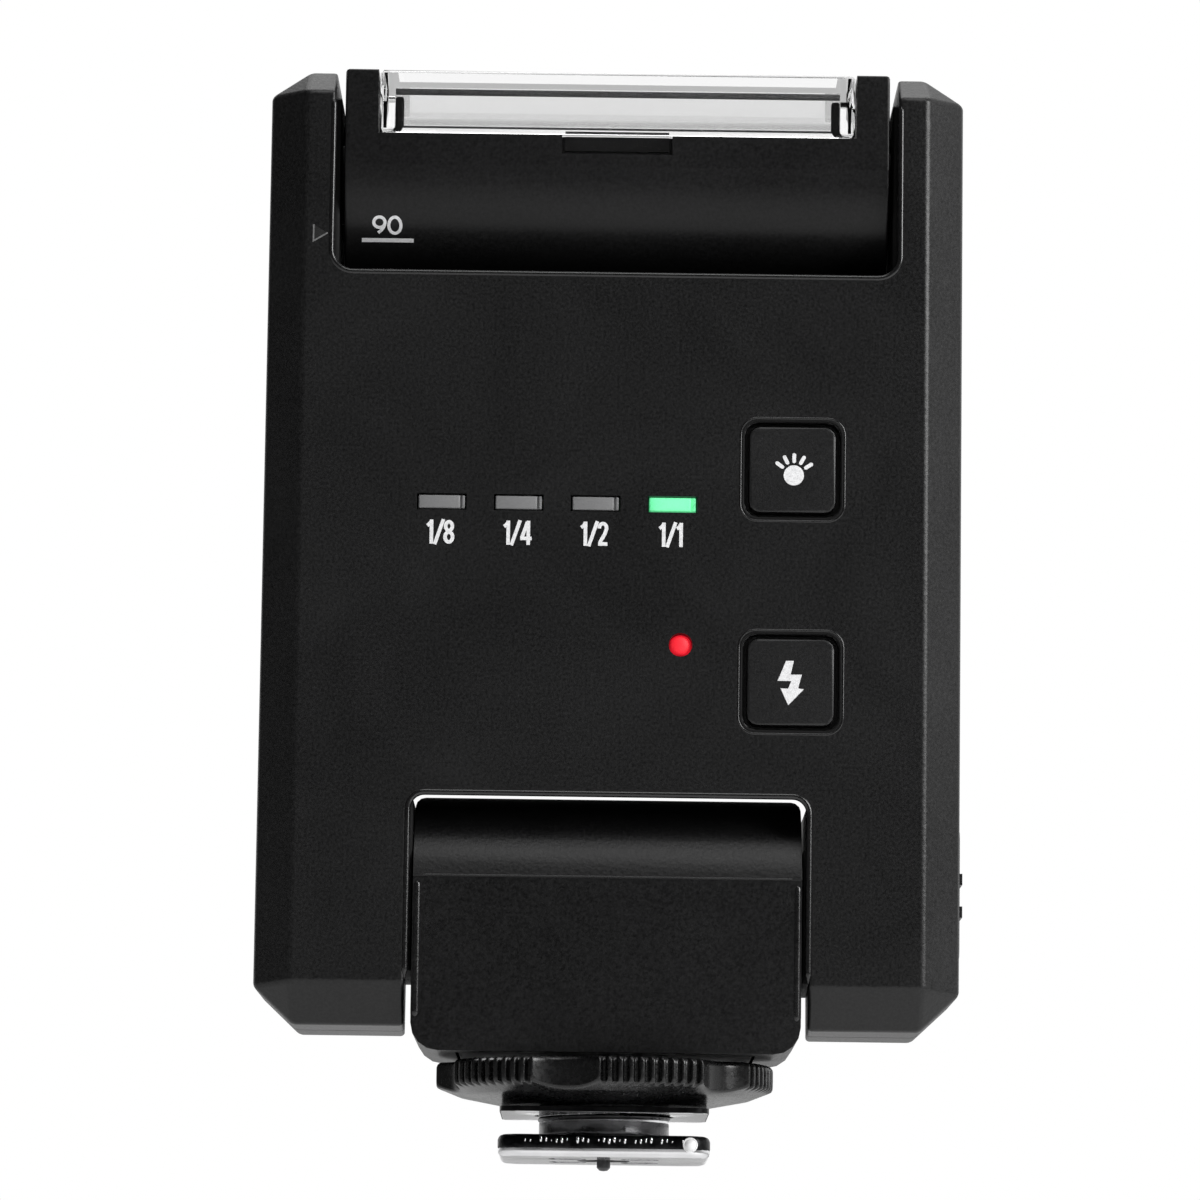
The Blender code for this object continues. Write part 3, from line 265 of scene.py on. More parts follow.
# the head's plastic is made lighter than the case's: painted light for the brighter light on its flat face
HEAD = moulded("head_plastic_painted_light", (0.004, 0.004, 0.0041), (0.0115, 0.0115, 0.0118), (0.32, 0.37), 0.3, 0.35, 0.018, 0.24)
EDGE = moulded("burnished_edge", (0.003, 0.003, 0.0031), (0.008, 0.008, 0.0082), (0.2, 0.27), 0.3, 0.25, 0.01, 0.6)
KEY = moulded("key_plastic", (0.005, 0.005, 0.0053), (0.009, 0.009, 0.0093), (0.33, 0.4), 0.22, 0.2, 0.015)
WHEEL = moulded("wheel_plastic", (0.001, 0.001, 0.0011), (0.0045, 0.0045, 0.0047), (0.22, 0.32), 0.35, 0.3, 0.02)
NYLON = moulded("nylon_plastic", (0.001, 0.001, 0.0011), (0.003, 0.003, 0.0031), (0.55, 0.7), 0.5, 0.25, 0.02, 0.2)
RUBBER = moulded("sleeve_rubber", (0.16, 0.16, 0.165), (0.24, 0.24, 0.245), (0.6, 0.75), 0.4, 0.4, 0.03)
FERRITE = moulded("ferrite_core", (0.03, 0.03, 0.032), (0.06, 0.058, 0.056), (0.6, 0.8), 0.5, 0.5, 0.05)
STEEL = metal("plated_steel", (0.5, 0.5, 0.51), (0.78, 0.78, 0.79), (0.12, 0.26), (0.15, 1.0, 1.0))
CHROME = metal("foot_steel", (0.68, 0.68, 0.69), (0.88, 0.88, 0.89), (0.06, 0.2), (0.2, 1.0, 1.4), 700, 0.18, 0.3)
DARK = metal("blackened_steel", (0.05, 0.05, 0.052), (0.11, 0.11, 0.113), (0.3, 0.46), (1, 1, 1), 1600, 0.3, 0.4)
BRASS = metal("contact_brass", (0.5, 0.37, 0.16), (0.72, 0.55, 0.28), (0.16, 0.34), (1, 1, 0.2))
MIRROR = metal("mirror_foil", (0.82, 0.82, 0.83), (0.93, 0.93, 0.94), (0.05, 0.12), (0.15, 1, 1), 500, 0.08)
ACRYLIC = see_through("clear_acrylic", (1.0, 1.0, 1.0), (0.0, 0.03), 1.49)
GLASS = see_through("tube_glass", (0.97, 0.98, 0.985), (0.0, 0.03), 1.47)
PCB = board("circuit_board")
CAP = sleeve("capacitor_film", (0.01, 0.011, 0.016), (0.022, 0.024, 0.032), (0.18, 0.32))
CELL = sleeve("cell_film", (0.03, 0.09, 0.2), (0.05, 0.14, 0.3), (0.25, 0.4))
RED_WIRE = sleeve("red_insulation", (0.3, 0.012, 0.01), (0.45, 0.02, 0.016), (0.35, 0.5))
BLACK_WIRE = sleeve("black_insulation", (0.008, 0.008, 0.008), (0.016, 0.016, 0.016), (0.35, 0.5))
INK = ink("white_ink", (0.66, 0.66, 0.67), (0.86, 0.86, 0.87))
# pointer materials: a dark fill that is painted shade of a pressed-in hollow, and a lighter rim that is a painted
# highlight on its edge
POINTER_SHADE = moulded("pointer_painted_shade", (0.001, 0.001, 0.001), (0.002, 0.002, 0.002), (0.6, 0.7))
POINTER_HIGHLIGHT = moulded("pointer_painted_highlight", (0.12, 0.12, 0.12), (0.2, 0.2, 0.2), (0.35, 0.45))
NECK = metal("neck_steel", (0.003, 0.003, 0.0033), (0.13, 0.13, 0.133), (0.14, 0.4), (0.6, 0.6, 1.6), 380, 0.8, 0.8)
CAST = metal("foot_cast_side", (0.002, 0.002, 0.0022), (0.028, 0.028, 0.029), (0.25, 0.45), (1, 1, 1), 1400, 1.0, 1.2)
BLACK = metal("blackened_plate", (0.004, 0.004, 0.0042), (0.02, 0.02, 0.0205), (0.3, 0.42), (1, 1, 1), 1200, 0.4, 0.4)
CERAMIC = ink("white_ceramic", (0.82, 0.82, 0.82), (0.93, 0.93, 0.93))
FROST = ink("window_seal_grey", (0.05, 0.05, 0.052), (0.1, 0.1, 0.102))
POLISH = metal("plate_polished_underside", (0.8, 0.8, 0.81), (0.93, 0.93, 0.94), (0.04, 0.12), (0.2, 1.0, 1.0), 600, 0.08, 0.1)

BY_SLOT = {
    "textured_black": CASE,
    "satin_black": KEY,
    "clear_lens": ACRYLIC,
    "polished_steel": STEEL,
    "dark_steel": DARK,
    "brass": BRASS,
    "nylon": NYLON,
    "mirror_aluminium": MIRROR,
    "tube_glass": GLASS,
    "board_green": PCB,
    "capacitor_sleeve": CAP,
    "cell_wrap": CELL,
    "ferrite": FERRITE,
    "wire_red": RED_WIRE,
    "wire_black": BLACK_WIRE,
    "rubber_grey": RUBBER,
}
BY_NODE = {
    "base_block": BASE,
    "base_cover": BASE,
    "head_housing": HEAD,
    "contact_pin": DARK,
    "pressure_plate": BLACK,
    "shoe_foot": CHROME,
    "foot_screw_1": STEEL,
    "foot_screw_2": STEEL,
    "foot_screw_3": STEEL,
    "foot_screw_4": STEEL,
}
LED = {}
for name in ("eighth", "quarter", "half", "full"):
    lo, hi = (Vector(v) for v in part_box(f"led_window_{name}"))
    inset = Vector((0.72, 0, 0.8)) * MM
    span = (lo.x + inset.x, hi.x - inset.x, lo.z + inset.z, hi.z - inset.z)
    if name == "full":
        LED[name] = lit_window(
            "lit_green",
            (0.01, 0.16, 0.06),
            (0.1, 0.55, 0.26),
            ((0.18, 0.72, 0.34), (0.13, 0.64, 0.28), (0.02, 0.22, 0.08)),
            1.0,
            *span,
        )
    else:
        # unlit windows: grey, with painted shade darkening them towards their ends and edges
        LED[name] = lit_window(f"unlit_{name}", (0.05, 0.05, 0.052), (0.2, 0.2, 0.202), None, 0, *span)
lo, hi = (Vector(v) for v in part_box("ready_lamp_lens"))
LED["ready"] = lit_window(
    "lit_red",
    (0.3, 0.03, 0.035),
    (0.6, 0.012, 0.02),
    ((0.62, 0.008, 0.02), (0.55, 0.007, 0.018), (0.2, 0.004, 0.008)),
    1.0,
    lo.x + 0.62 * MM,
    hi.x - 0.62 * MM,
    lo.z + 0.62 * MM,
    hi.z - 0.62 * MM,
    (0.55, 0.7),
)
BY_NODE.update({f"led_window_{name}": made for name, made in LED.items() if name != "ready"})
BY_NODE["ready_lamp_lens"] = LED["ready"]

for name, obj in NODES.items():
    slot = obj.data.materials[0].name.split(".")[0] if obj.data.materials and obj.data.materials[0] else ""
    chosen = BY_NODE.get(name) or BY_SLOT[slot]
    obj.data.materials.clear()
    obj.data.materials.append(chosen)
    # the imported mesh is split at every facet: join it up and shade its fillets by the flats beside them
    for polygon in obj.data.polygons:
        polygon.use_smooth = True
    weld = obj.modifiers.new("joined", "WELD")
    weld.merge_threshold = 2e-6
    split = obj.modifiers.new("creases", "EDGE_SPLIT")
    split.split_angle = math.radians(38)
    split.use_edge_sharp = False
    soft = obj.modifiers.new("flats", "WEIGHTED_NORMAL")
    soft.weight = 90
    soft.keep_sharp = True


# ---------------------------------------------------------------------------
# pieces made here
# ---------------------------------------------------------------------------
def piece(name, bm, material, body, smooth=True, split=35):
    bmesh.ops.remove_doubles(bm, verts=bm.verts, dist=1e-7)
    bmesh.ops.recalc_face_normals(bm, faces=bm.faces)
    for face in bm.faces:
        face.smooth = smooth
    mesh = bpy.data.meshes.new(name)
    bm.to_mesh(mesh)
    bm.free()
    obj = bpy.data.objects.new(name, mesh)
    bpy.context.scene.collection.objects.link(obj)
    mesh.materials.append(material)
    if smooth:
        edges = obj.modifiers.new("creases", "EDGE_SPLIT")
        edges.split_angle = math.radians(split)
        edges.use_edge_sharp = False
    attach(obj, body)
    return obj


def resample(points, step, closed=False):
    """The same line with no segment longer than step."""
    made = []
    ends = list(zip(points, points[1:] + points[:1])) if closed else list(zip(points, points[1:]))
    for a, b in ends:
        n = max(1, math.ceil(math.dist(a, b) / step))
        made += [(a[0] + (b[0] - a[0]) * i / n, a[1] + (b[1] - a[1]) * i / n) for i in range(n)]
    return made if closed else made + [points[-1]]


def ribbon(bm, points, half, place, low, high, closed=False, step=0.15):
    """A flat stroke along a line on a surface: place(u, v, h) gives the point h above it. Everything is in millimetres."""
    line = resample([tuple(p) for p in points], step, closed)
    n = len(line)
    rows = []
    for i, (u, v) in enumerate(line):
        before = line[i - 1] if closed or i else line[i]
        after = line[(i + 1) % n] if closed or i < n - 1 else line[i]
        d1 = Vector((u - before[0], v - before[1]))
        d2 = Vector((after[0] - u, after[1] - v))
        d1 = d1.normalized() if d1.length > 1e-9 else d2.normalized()
        d2 = d2.normalized() if d2.length > 1e-9 else d1
        mid = (d1 + d2).normalized()
        side = Vector((-mid.y, mid.x))
        reach = half / max(0.5, side.dot(Vector((-d1.y, d1.x))))
        left, right = Vector((u, v)) + side * reach, Vector((u, v)) - side * reach
        rows.append(
            [
                bm.verts.new(Vector(place(*left, low)) * MM),
                bm.verts.new(Vector(place(*right, low)) * MM),
                bm.verts.new(Vector(place(*right, high)) * MM),
                bm.verts.new(Vector(place(*left, high)) * MM),
            ]
        )
    pairs = list(zip(rows, rows[1:] + rows[:1])) if closed else list(zip(rows, rows[1:]))
    for a, b in pairs:
        for k in range(4):
            bm.faces.new((a[k], a[(k + 1) % 4], b[(k + 1) % 4], b[k]))
    if not closed:
        bm.faces.new(reversed(rows[0]))
        bm.faces.new(rows[-1])


def plate(bm, points, place, low, high):
    """A flat shape with straight sides, from its outline."""
    bottom = [bm.verts.new(Vector(place(u, v, low)) * MM) for u, v in points]
    top = [bm.verts.new(Vector(place(u, v, high)) * MM) for u, v in points]
    n = len(points)
    bm.faces.new(list(reversed(bottom)))
    bm.faces.new(top)
    for i in range(n):
        bm.faces.new((bottom[i], bottom[(i + 1) % n], top[(i + 1) % n], top[i]))


def oval(cx, cy, rx, ry, start=0, end=360, steps=24, power=2.0):
    """Points round a superellipse, in degrees from +u towards +v."""
    made = []
    for i in range(steps + 1):
        a = math.radians(start + (end - start) * i / steps)
        c, s = math.cos(a), math.sin(a)
        made.append(
            (
                cx + rx * math.copysign(abs(c) ** (2 / power), c),
                cy + ry * math.copysign(abs(s) ** (2 / power), s),
            )
        )
    return made


# narrow numerals for the panel, and round thin ones for the head: strokes in a box one unit tall
NARROW = {
    "1": (0.36, [([(0.215, 0.0), (0.215, 1.0)], False), ([(0.04, 0.75), (0.12, 0.81), (0.2, 0.92)], False)]),
    "/": (0.35, [([(-0.01, -0.02), (0.34, 1.02)], False)]),
    "2": (
        0.47,
        [
            (oval(0.22, 0.74, 0.15, 0.185, 185, -12, 16) + [(0.3, 0.5), (0.1, 0.14)], False),
            ([(0.03, 0.08), (0.41, 0.08)], False),
        ],
    ),
    "4": (
        0.49,
        [
            ([(0.33, 0.0), (0.33, 1.0)], False),
            ([(0.29, 0.95), (0.07, 0.3)], False),
            ([(0.0, 0.27), (0.47, 0.27)], False),
        ],
    ),
    "8": (
        0.47,
        [
            (oval(0.22, 0.735, 0.135, 0.18, 0, 360, 24)[:-1], True),
            (oval(0.22, 0.285, 0.155, 0.205, 0, 360, 24)[:-1], True),
        ],
    ),
}
ROUND = {
    "0": (0.74, [(oval(0.34, 0.5, 0.29, 0.44, 0, 360, 30)[:-1], True)]),
    "9": (
        0.72,
        [
            (oval(0.32, 0.66, 0.27, 0.28, 0, 360, 26)[:-1], True),
            (oval(-0.28, 0.72, 0.87, 0.8, -8, -52, 10), False),
        ],
    ),
    "6": (
        0.72,
        [
            (oval(0.34, 0.34, 0.27, 0.28, 0, 360, 26)[:-1], True),
            (oval(0.94, 0.28, 0.87, 0.8, 172, 128, 10), False),
        ],
    ),
    "7": (0.66, [([(0.04, 0.94), (0.58, 0.94), (0.2, 0.06)], False)]),
    "5": (
        0.7,
        [
            (
                [(0.56, 0.94), (0.16, 0.94), (0.12, 0.54)]
                + oval(0.3, 0.33, 0.27, 0.27, 120, -140, 22),
                False,
            )
        ],
    ),
    "4": (0.74, [([(0.5, 0.06), (0.5, 0.92), (0.06, 0.3), (0.66, 0.3)], False)]),
}


def numerals(bm, text, font, height, centre, base, half, place, low, high, squeeze=1.0):
    """Draws text with its middle at centre and its foot at base."""
    width = sum(font[c][0] for c in text) * height * squeeze
    u = centre - width / 2
    for n, c in enumerate(text):
        advance, strokes = font[c]
        for k, (line, closed) in enumerate(strokes):
            lift = 0.0012 * (k + 1)
            ribbon(
                bm,
                [(u + x * height * squeeze, base + y * height) for x, y in line],
                half,
                place,
                low,
                high + lift,
                closed,
            )
        u += advance * height * squeeze


def on_panel(u, v, h):
    return (u, -10.0 - h, v)


# printed power steps under the four windows
for text, node in (("1/8", "led_window_eighth"), ("1/4", "led_window_quarter"), ("1/2", "led_window_half"), ("1/1", "led_window_full")):
    lo, hi = (Vector(v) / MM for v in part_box(node))
    bm = bmesh.new()
    numerals(bm, text, NARROW, 2.16, (lo.x + hi.x) / 2 - 0.06, 53.83, 0.16, on_panel, -0.01, 0.012, 1.0)
    piece("print_power_" + node.split("_")[-1], bm, INK, "case", smooth=False)

# the four bars of the power display: a light pipe with a moulded end rib, set in its window
def soft_block(bm, x0, x1, y0, y1, z0, z1, radius, segments=3):
    """A block with every edge rounded, in millimetres."""
    made = bmesh.ops.create_cube(bm, size=1.0)["verts"]
    for v in made:
        v.co = Vector((x0 + (v.co.x + 0.5) * (x1 - x0), y0 + (v.co.y + 0.5) * (y1 - y0), z0 + (v.co.z + 0.5) * (z1 - z0))) * MM
    edges = list({e for v in made for e in v.link_edges})
    bmesh.ops.bevel(bm, geom=edges, offset=radius * MM, segments=segments, profile=0.5, affect="EDGES")


for name in ("eighth", "quarter", "half", "full"):
    lo, hi = (Vector(v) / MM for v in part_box(f"led_window_{name}"))
    cx, cz = (lo.x + hi.x) / 2, (lo.z + hi.z) / 2
    bm = bmesh.new()
    soft_block(bm, cx - 2.08, cx + 2.08, -9.72, -8.0, cz - 0.62, cz + 0.62, 0.06, 2)
    soft_block(bm, cx - 2.07, cx + 1.62, -9.93, -9.6, cz - 0.6, cz + 0.6, 0.13)
    soft_block(bm, cx + 1.76, cx + 2.07, -9.93, -9.6, cz - 0.6, cz + 0.6, 0.12)
    bar = piece("led_bar_" + name, bm, LED[name], "case", split=60)
    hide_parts(f"led_window_{name}")

# icons on the two keys, which go in with them
KEY_FACE = 9.95


def on_key(u, v, h):
    return (u, -KEY_FACE - h, v)


lo, hi = (Vector(v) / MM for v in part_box("level_button"))
cx, cz = (lo.x + hi.x) / 2, (lo.z + hi.z) / 2
bm = bmesh.new()
ux, uz = cx + 0.12, cz - 0.5
plate(bm, oval(ux, uz, 0.9, 0.9, 0, 360, 48)[:-1], on_key, -0.01, 0.014)
for degrees in (144, 117, 89, 61, 33):
    a = math.radians(degrees)
    c, d = math.cos(a), math.sin(a)
    ends = [(ux + r * c, uz + r * d) for r in (1.26, 1.84)]
    outline = []
    for (px, pz), turn in zip(ends, (180, 0)):
        for k in range(7):
            b = a + math.radians(turn - 90 + 30 * k)
            outline.append((px + 0.165 * math.cos(b), pz + 0.165 * math.sin(b)))
    plate(bm, outline, on_key, -0.01, 0.014)
piece("print_lamp_icon", bm, INK, "level_button", smooth=False)

lo, hi = (Vector(v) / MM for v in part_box("test_button"))
cx, cz = (lo.x + hi.x) / 2, (lo.z + hi.z) / 2
bm = bmesh.new()
bolt = [
    (-0.42, 2.05), (0.32, 2.05), (0.02, 0.74), (1.08, 0.74), (0.74, -0.58), (1.28, -0.66),
    (-0.19, -2.2), (-0.93, -0.58), (-0.22, -0.62), (0.1, 0.12), (-1.22, 0.12),
]
plate(bm, [(cx - 0.02 + 0.93 * u, cz + 0.93 * v) for u, v in reversed(bolt)], on_key, -0.01, 0.014)
piece("print_bolt_icon", bm, INK, "test_button", smooth=False)

# the tilt scale round the head's barrel, one mark for each stop
BARREL_R, BARREL_Z = 9.3, 88.2


def on_barrel(angle):
    """A place on the barrel, v along its arc upwards from the point angle degrees below level on the control side."""

    def place(u, v, h):
        a = math.radians(angle) - v / BARREL_R
        r = BARREL_R + h
        return (u, -r * math.cos(a), BARREL_Z - r * math.sin(a))

    return place


for text in ("90", "45", "0"):
    place = on_barrel(43.5 + 90 - float(text))
    bm = bmesh.new()
    ribbon(bm, [(-22.8, 0.0), (-18.15, 0.0)], 0.2, place, -0.02, 0.02)
    numerals(bm, text, ROUND, 1.78, -20.45, 0.62, 0.14, place, -0.02, 0.02, 1.05)
    piece("print_tilt_" + text, bm, INK, "flash_head", smooth=False)

# index pointer beside the scale: a dark triangle on the left cheek, painted shade for a hollow pressed into it, with a
# lighter rim painted as the highlight on its edge
bm = bmesh.new()
plate(bm, [(-26.95, 82.45), (-26.95, 81.05), (-25.75, 81.75)], on_panel, -0.02, 0.006)
piece("tilt_pointer", bm, POINTER_SHADE, "case", smooth=False)
# lighter rim round the pointer: painted highlight on its edge
bm = bmesh.new()
ribbon(bm, [(-26.98, 82.5), (-26.98, 81.0), (-25.72, 81.75)], 0.07, on_panel, -0.02, 0.02)
piece("tilt_pointer_rim", bm, POINTER_HIGHLIGHT, "case", smooth=False)


# ---- burnished lips round the openings of the control side -----------------------------
def lip(name, points, radius, stand, body, closed=False, made=None):
    """A round bead along an opening's edge in the panel; it stands proud of the panel and the opening by stand. points run with the opening on the right."""
    line = resample(points, 0.25, closed)
    n = len(line)
    bm = bmesh.new()
    rows = []
    sink = radius - stand
    for i, (u, v) in enumerate(line):
        before = line[i - 1] if closed or i else line[i]
        after = line[(i + 1) % n] if closed or i < n - 1 else line[i]
        along_it = Vector((after[0] - before[0], after[1] - before[1])).normalized()
        away = Vector((-along_it.y, along_it.x))
        end = 1.0 if closed else min(1.0, 0.15 + 0.85 * min(i, n - 1 - i) / 3)
        row = []
        for k in range(12):
            b = math.tau * k / 12
            r = radius * end
            flat = Vector((u, v)) + away * (sink + r * math.cos(b))
            row.append(bm.verts.new(Vector((flat.x, -10.0 + sink + r * math.sin(b), flat.y)) * MM))
        rows.append(row)
    pairs = list(zip(rows, rows[1:] + rows[:1])) if closed else list(zip(rows, rows[1:]))
    for p, q in pairs:
        for k in range(12):
            bm.faces.new((p[k], p[(k + 1) % 12], q[(k + 1) % 12], q[k]))
    if not closed:
        bm.faces.new(reversed(rows[0]))
        bm.faces.new(rows[-1])
    return piece(name, bm, made or EDGE, body, split=60)


# head notch: right side up to left side, the opening above
w, z, r = 25.2, 78.5, 1.8
lip(
    "head_notch_lip",
    [(w, 94.3)] + [(w - r + x, z + r - y) for x, y in [(r * math.cos(math.radians(t)), r * math.sin(math.radians(t))) for t in range(0, 91, 10)]]
    + [(-w + r - x, z + r - y) for x, y in [(r * math.sin(math.radians(t)), r * math.cos(math.radians(t))) for t in range(0, 91, 10)]]
    + [(-w, 94.3)],
    0.3,
    0.09,
    "case",
)
# shoe notch: left side up and over to the right side, the opening below
w, z, r = 17.5, 31.58, 1.3
lip(
    "shoe_notch_lip",
    [(-w, 15.3)] + [(-w + r - x, z - r + y) for x, y in [(r * math.cos(math.radians(t)), r * math.sin(math.radians(t))) for t in range(0, 91, 10)]]
    + [(w - r + x, z - r + y) for x, y in [(r * math.sin(math.radians(t)), r * math.cos(math.radians(t))) for t in range(0, 91, 10)]]
    + [(w, 15.3)],
    0.3,
    0.09,
    "case",
)
for node, word in (("level_button", "level"), ("test_button", "test")):
    lo, hi = (Vector(v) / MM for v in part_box(node))
    cx, cz = (lo.x + hi.x) / 2, (lo.z + hi.z) / 2
    # the dark matte ring just outside each key hole is painted shade for the gap round the key; the lip outside it is a
    # bead that catches the light
    for name, half, r, radius, stand, made in ((f"{word}_key_moat", 4.27, 1.22, 0.16, 0.02, NYLON), (f"{word}_key_lip", 4.52, 1.4, 0.14, 0.04, EDGE)):
        ring = []
        for sx, sz, start in ((1, 1, 0), (-1, 1, 90), (-1, -1, 180), (1, -1, 270)):
            ring += [
                (cx + sx * (half - r) + r * math.cos(math.radians(start + t)), cz + sz * (half - r) + r * math.sin(math.radians(start + t)))
                for t in range(0, 91, 10)
            ]
        lip(name, ring[::-1], radius, stand, "case", closed=True, made=made)

# the shoe block's two burnished edges, and the crease under its knuckle
lip("block_edge_right", [(17.1, 11.5), (17.1, 24.35)], 0.4, 0.02, "foot_base")
lip("block_edge_left", [(-17.1, 24.35), (-17.1, 11.5)], 0.4, 0.02, "foot_base")
lip("block_crease", [(-16.7, 24.4), (16.7, 24.4)], 0.1, 0.03, "foot_base")

# ---- lock wheel ---------------------------------------------------------------
def wheel_radius(degrees, r_out=15.0, depth=1.45, groove=0.55):
    """Six scallops with ten ribs between each pair, as a smooth curve."""
    pitch, scallop, ribs = 60.0, 23.0, 10
    first = -90 - 13.6
    s = (degrees - first + scallop / 2) % pitch
    if s < scallop:
        t = 2 * s / scallop - 1
        return r_out - depth * (1 - abs(t) ** 2.4)
    t = ((s - scallop) / (pitch - scallop) * ribs) % 1.0
    d = abs(t - 0.5) * 2
    return r_out - groove * (1 - 1 / (1 + math.exp(-(d - 0.5) * 15)))


def soft_least(a, b, k):
    h = max(0.0, k - abs(a - b)) / k
    return min(a, b) - h * h * k / 4


def along(z, stops):
    """The value at z on a broken line of (z, value)."""
    for (za, a), (zb, b) in zip(stops, stops[1:]):
        if z <= zb:
            return a + (b - a) * max(0.0, (z - za) / (zb - za))
    return stops[-1][1]


def wheel():
    lo, hi = (Vector(v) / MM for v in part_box("lock_wheel"))
    z0, z1 = lo.z, hi.z
    bm = bmesh.new()
    under = [(z0, 9.0), (z0 + 0.75, 12.9), (z0 + 1.6, 15.05), (z1, 16.0)]
    rings = []
    n = 1440
    for z in (0.01, 0.2, 0.4, 0.6, 0.75, 0.85, 0.95, 1.05, 1.15, 1.25, 1.35, 1.45, 1.55, 1.7, 1.95, 2.4, 2.9, 3.2, 3.34, 3.45, 3.54, 3.62, 3.68, 3.72, 3.745):
        z = z0 + z / 3.75 * (z1 - z0)
        drop = z1 - z
        top = 0.0 if drop > 0.48 else 0.5 * (1 - math.sqrt(max(0.0, 1 - ((0.48 - drop) / 0.48) ** 2)))
        cone = along(z, under)
        ring = []
        for i in range(n):
            a = 360 * i / n
            r = soft_least(wheel_radius(a) - top, cone, 0.3)
            c, s = math.cos(math.radians(a)), math.sin(math.radians(a))
            ring.append(bm.verts.new(Vector((r * c, r * s, z)) * MM))
        rings.append(ring)
    for r, z in ((12.6, z1), (12.45, z1 - 0.15), (11.9, z1 - 0.15), (11.75, z1), (5.98, z1), (5.98, z0 + 0.01), (6.6, z0), (8.6, z0)):
        rings.append(
            [
                bm.verts.new(Vector((r * math.cos(math.tau * i / n), r * math.sin(math.tau * i / n), z)) * MM)
                for i in range(n)
            ]
        )
    for a, b in zip(rings, rings[1:] + rings[:1]):
        for i in range(n):
            j = (i + 1) % n
            bm.faces.new((a[i], a[j], b[j], b[i]))
    made = piece("wheel_ribbed", bm, WHEEL, "lock_wheel", split=45)
    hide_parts("lock_wheel")


wheel()


# ---- foot, neck and pressure plate --------------------------------------------------
def rounded_at(degrees, half_w, half_l, radius):
    """Where a ray from the centre leaves a rounded rectangle."""
    c, s = math.cos(math.radians(degrees)), math.sin(math.radians(degrees))
    low, high = 0.0, 40.0
    for _ in range(40):
        t = (low + high) / 2
        x, y = abs(t * c) - (half_w - radius), abs(t * s) - (half_l - radius)
        outside = math.hypot(max(x, 0), max(y, 0)) + min(max(x, y), 0) - radius
        low, high = (t, high) if outside < 0 else (low, t)
    return low * c, low * s


def loops(bm, rings, n):
    """Joins closed rings of n points, the last to the first."""
    for a, b in zip(rings, rings[1:] + rings[:1]):
        for i in range(n):
            j = (i + 1) % n
            bm.faces.new((a[i], a[j], b[j], b[i]))


def band(name, profile, half_w, half_l, radius, material, body, n=240, split=40):
    """A closed section of (inset, z) carried round a rounded rectangle."""
    bm = bmesh.new()
    rings = []
    for inset, z in profile:
        ring = []
        for i in range(n):
            x, y = rounded_at(360 * i / n, half_w - inset, half_l - inset, max(0.2, radius - inset))
            ring.append(bm.verts.new(Vector((x, y, z)) * MM))
        rings.append(ring)
    loops(bm, rings, n)
    return piece(name, bm, material, body, split=split)


def ring_section(name, profile, material, body, n=180, split=40):
    """A closed section of (radius, z) turned about the foot's axis."""
    bm = bmesh.new()
    loops(
        bm,
        [[bm.verts.new(Vector((r * math.cos(math.tau * i / n), r * math.sin(math.tau * i / n), z)) * MM) for i in range(n)] for r, z in profile],
        n,
    )
    return piece(name, bm, material, body, split=split)


lo, hi = (Vector(v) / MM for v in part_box("shoe_foot"))
foot_w, foot_l = (hi.x - lo.x) / 2, (hi.y - lo.y) / 2
# the cast flank of the foot, dark above its polished lower lip
band(
    "foot_cast_flank",
    [(0.03, 0.7), (-0.02, 0.75), (-0.035, 0.9), (-0.035, 1.45), (0.05, 1.68), (0.2, 1.84), (0.45, 1.93), (1.3, 1.935), (1.3, 1.86), (0.3, 1.7), (0.12, 0.8)],
    foot_w,
    foot_l,
    2.2,
    CAST,
    "foot_base",
)
# a fine bead row along the flank, worn unevenly
bm = bmesh.new()
for side in (-1, 1):
    for i in range(31):
        x = -6.9 + 13.8 * i / 30
        worn = noise.noise(Vector((x * 1.7, side * 3.1, 0.4)))
        r = 0.1 + 0.16 * worn
        if r < 0.05:
            continue
        z = 1.42 + 0.16 * noise.noise(Vector((x * 2.3, side * 1.7, 5.2)))
        base = bmesh.ops.create_uvsphere(bm, u_segments=12, v_segments=8, radius=1.0)["verts"]
        for v in base:
            v.co = Vector((x + v.co.x * r * 0.8, side * (foot_l + 0.02) + v.co.y * r * 0.7, z + v.co.z * r * 1.7)) * MM
piece("foot_bead_row", bm, CHROME, "foot_base", split=80)
# the spring ball that holds the foot in a shoe, in its staked collar
bm = bmesh.new()
section = [(0.0, 0.34), (0.18, 0.32), (0.34, 0.25), (0.46, 0.13), (0.51, 0.02), (0.56, 0.06), (0.62, 0.06), (0.66, 0.0), (0.66, -0.1), (0.0, -0.1)]
rings = []
for r, out in section[1:-1]:
    rings.append([bm.verts.new(Vector((7.55 + r * math.cos(math.tau * i / 32), -foot_l - 0.03 - out, 1.12 + r * math.sin(math.tau * i / 32))) * MM) for i in range(32)])
for a, b in zip(rings, rings[1:]):
    for i in range(32):
        bm.faces.new((a[i], a[(i + 1) % 32], b[(i + 1) % 32], b[i]))
for ring, out in ((rings[0], section[0][1]), (rings[-1], section[-1][1])):
    tip = bm.verts.new(Vector((7.55, -foot_l - 0.03 - out, 1.12)) * MM)
    for i in range(32):
        bm.faces.new((ring[i], ring[(i + 1) % 32], tip))
piece("foot_spring_ball", bm, CERAMIC, "foot_base", split=30)

# the neck's worn sleeve, plain near the foot and threaded above
ring_section(
    "neck_sleeve",
    [(5.6, 1.88), (6.25, 1.88), (6.22, 1.96), (5.95, 2.06), (5.82, 2.22), (5.79, 2.4), (5.79, 3.2), (5.74, 3.34), (5.6, 3.36)],
    NECK,
    "foot_base",
)


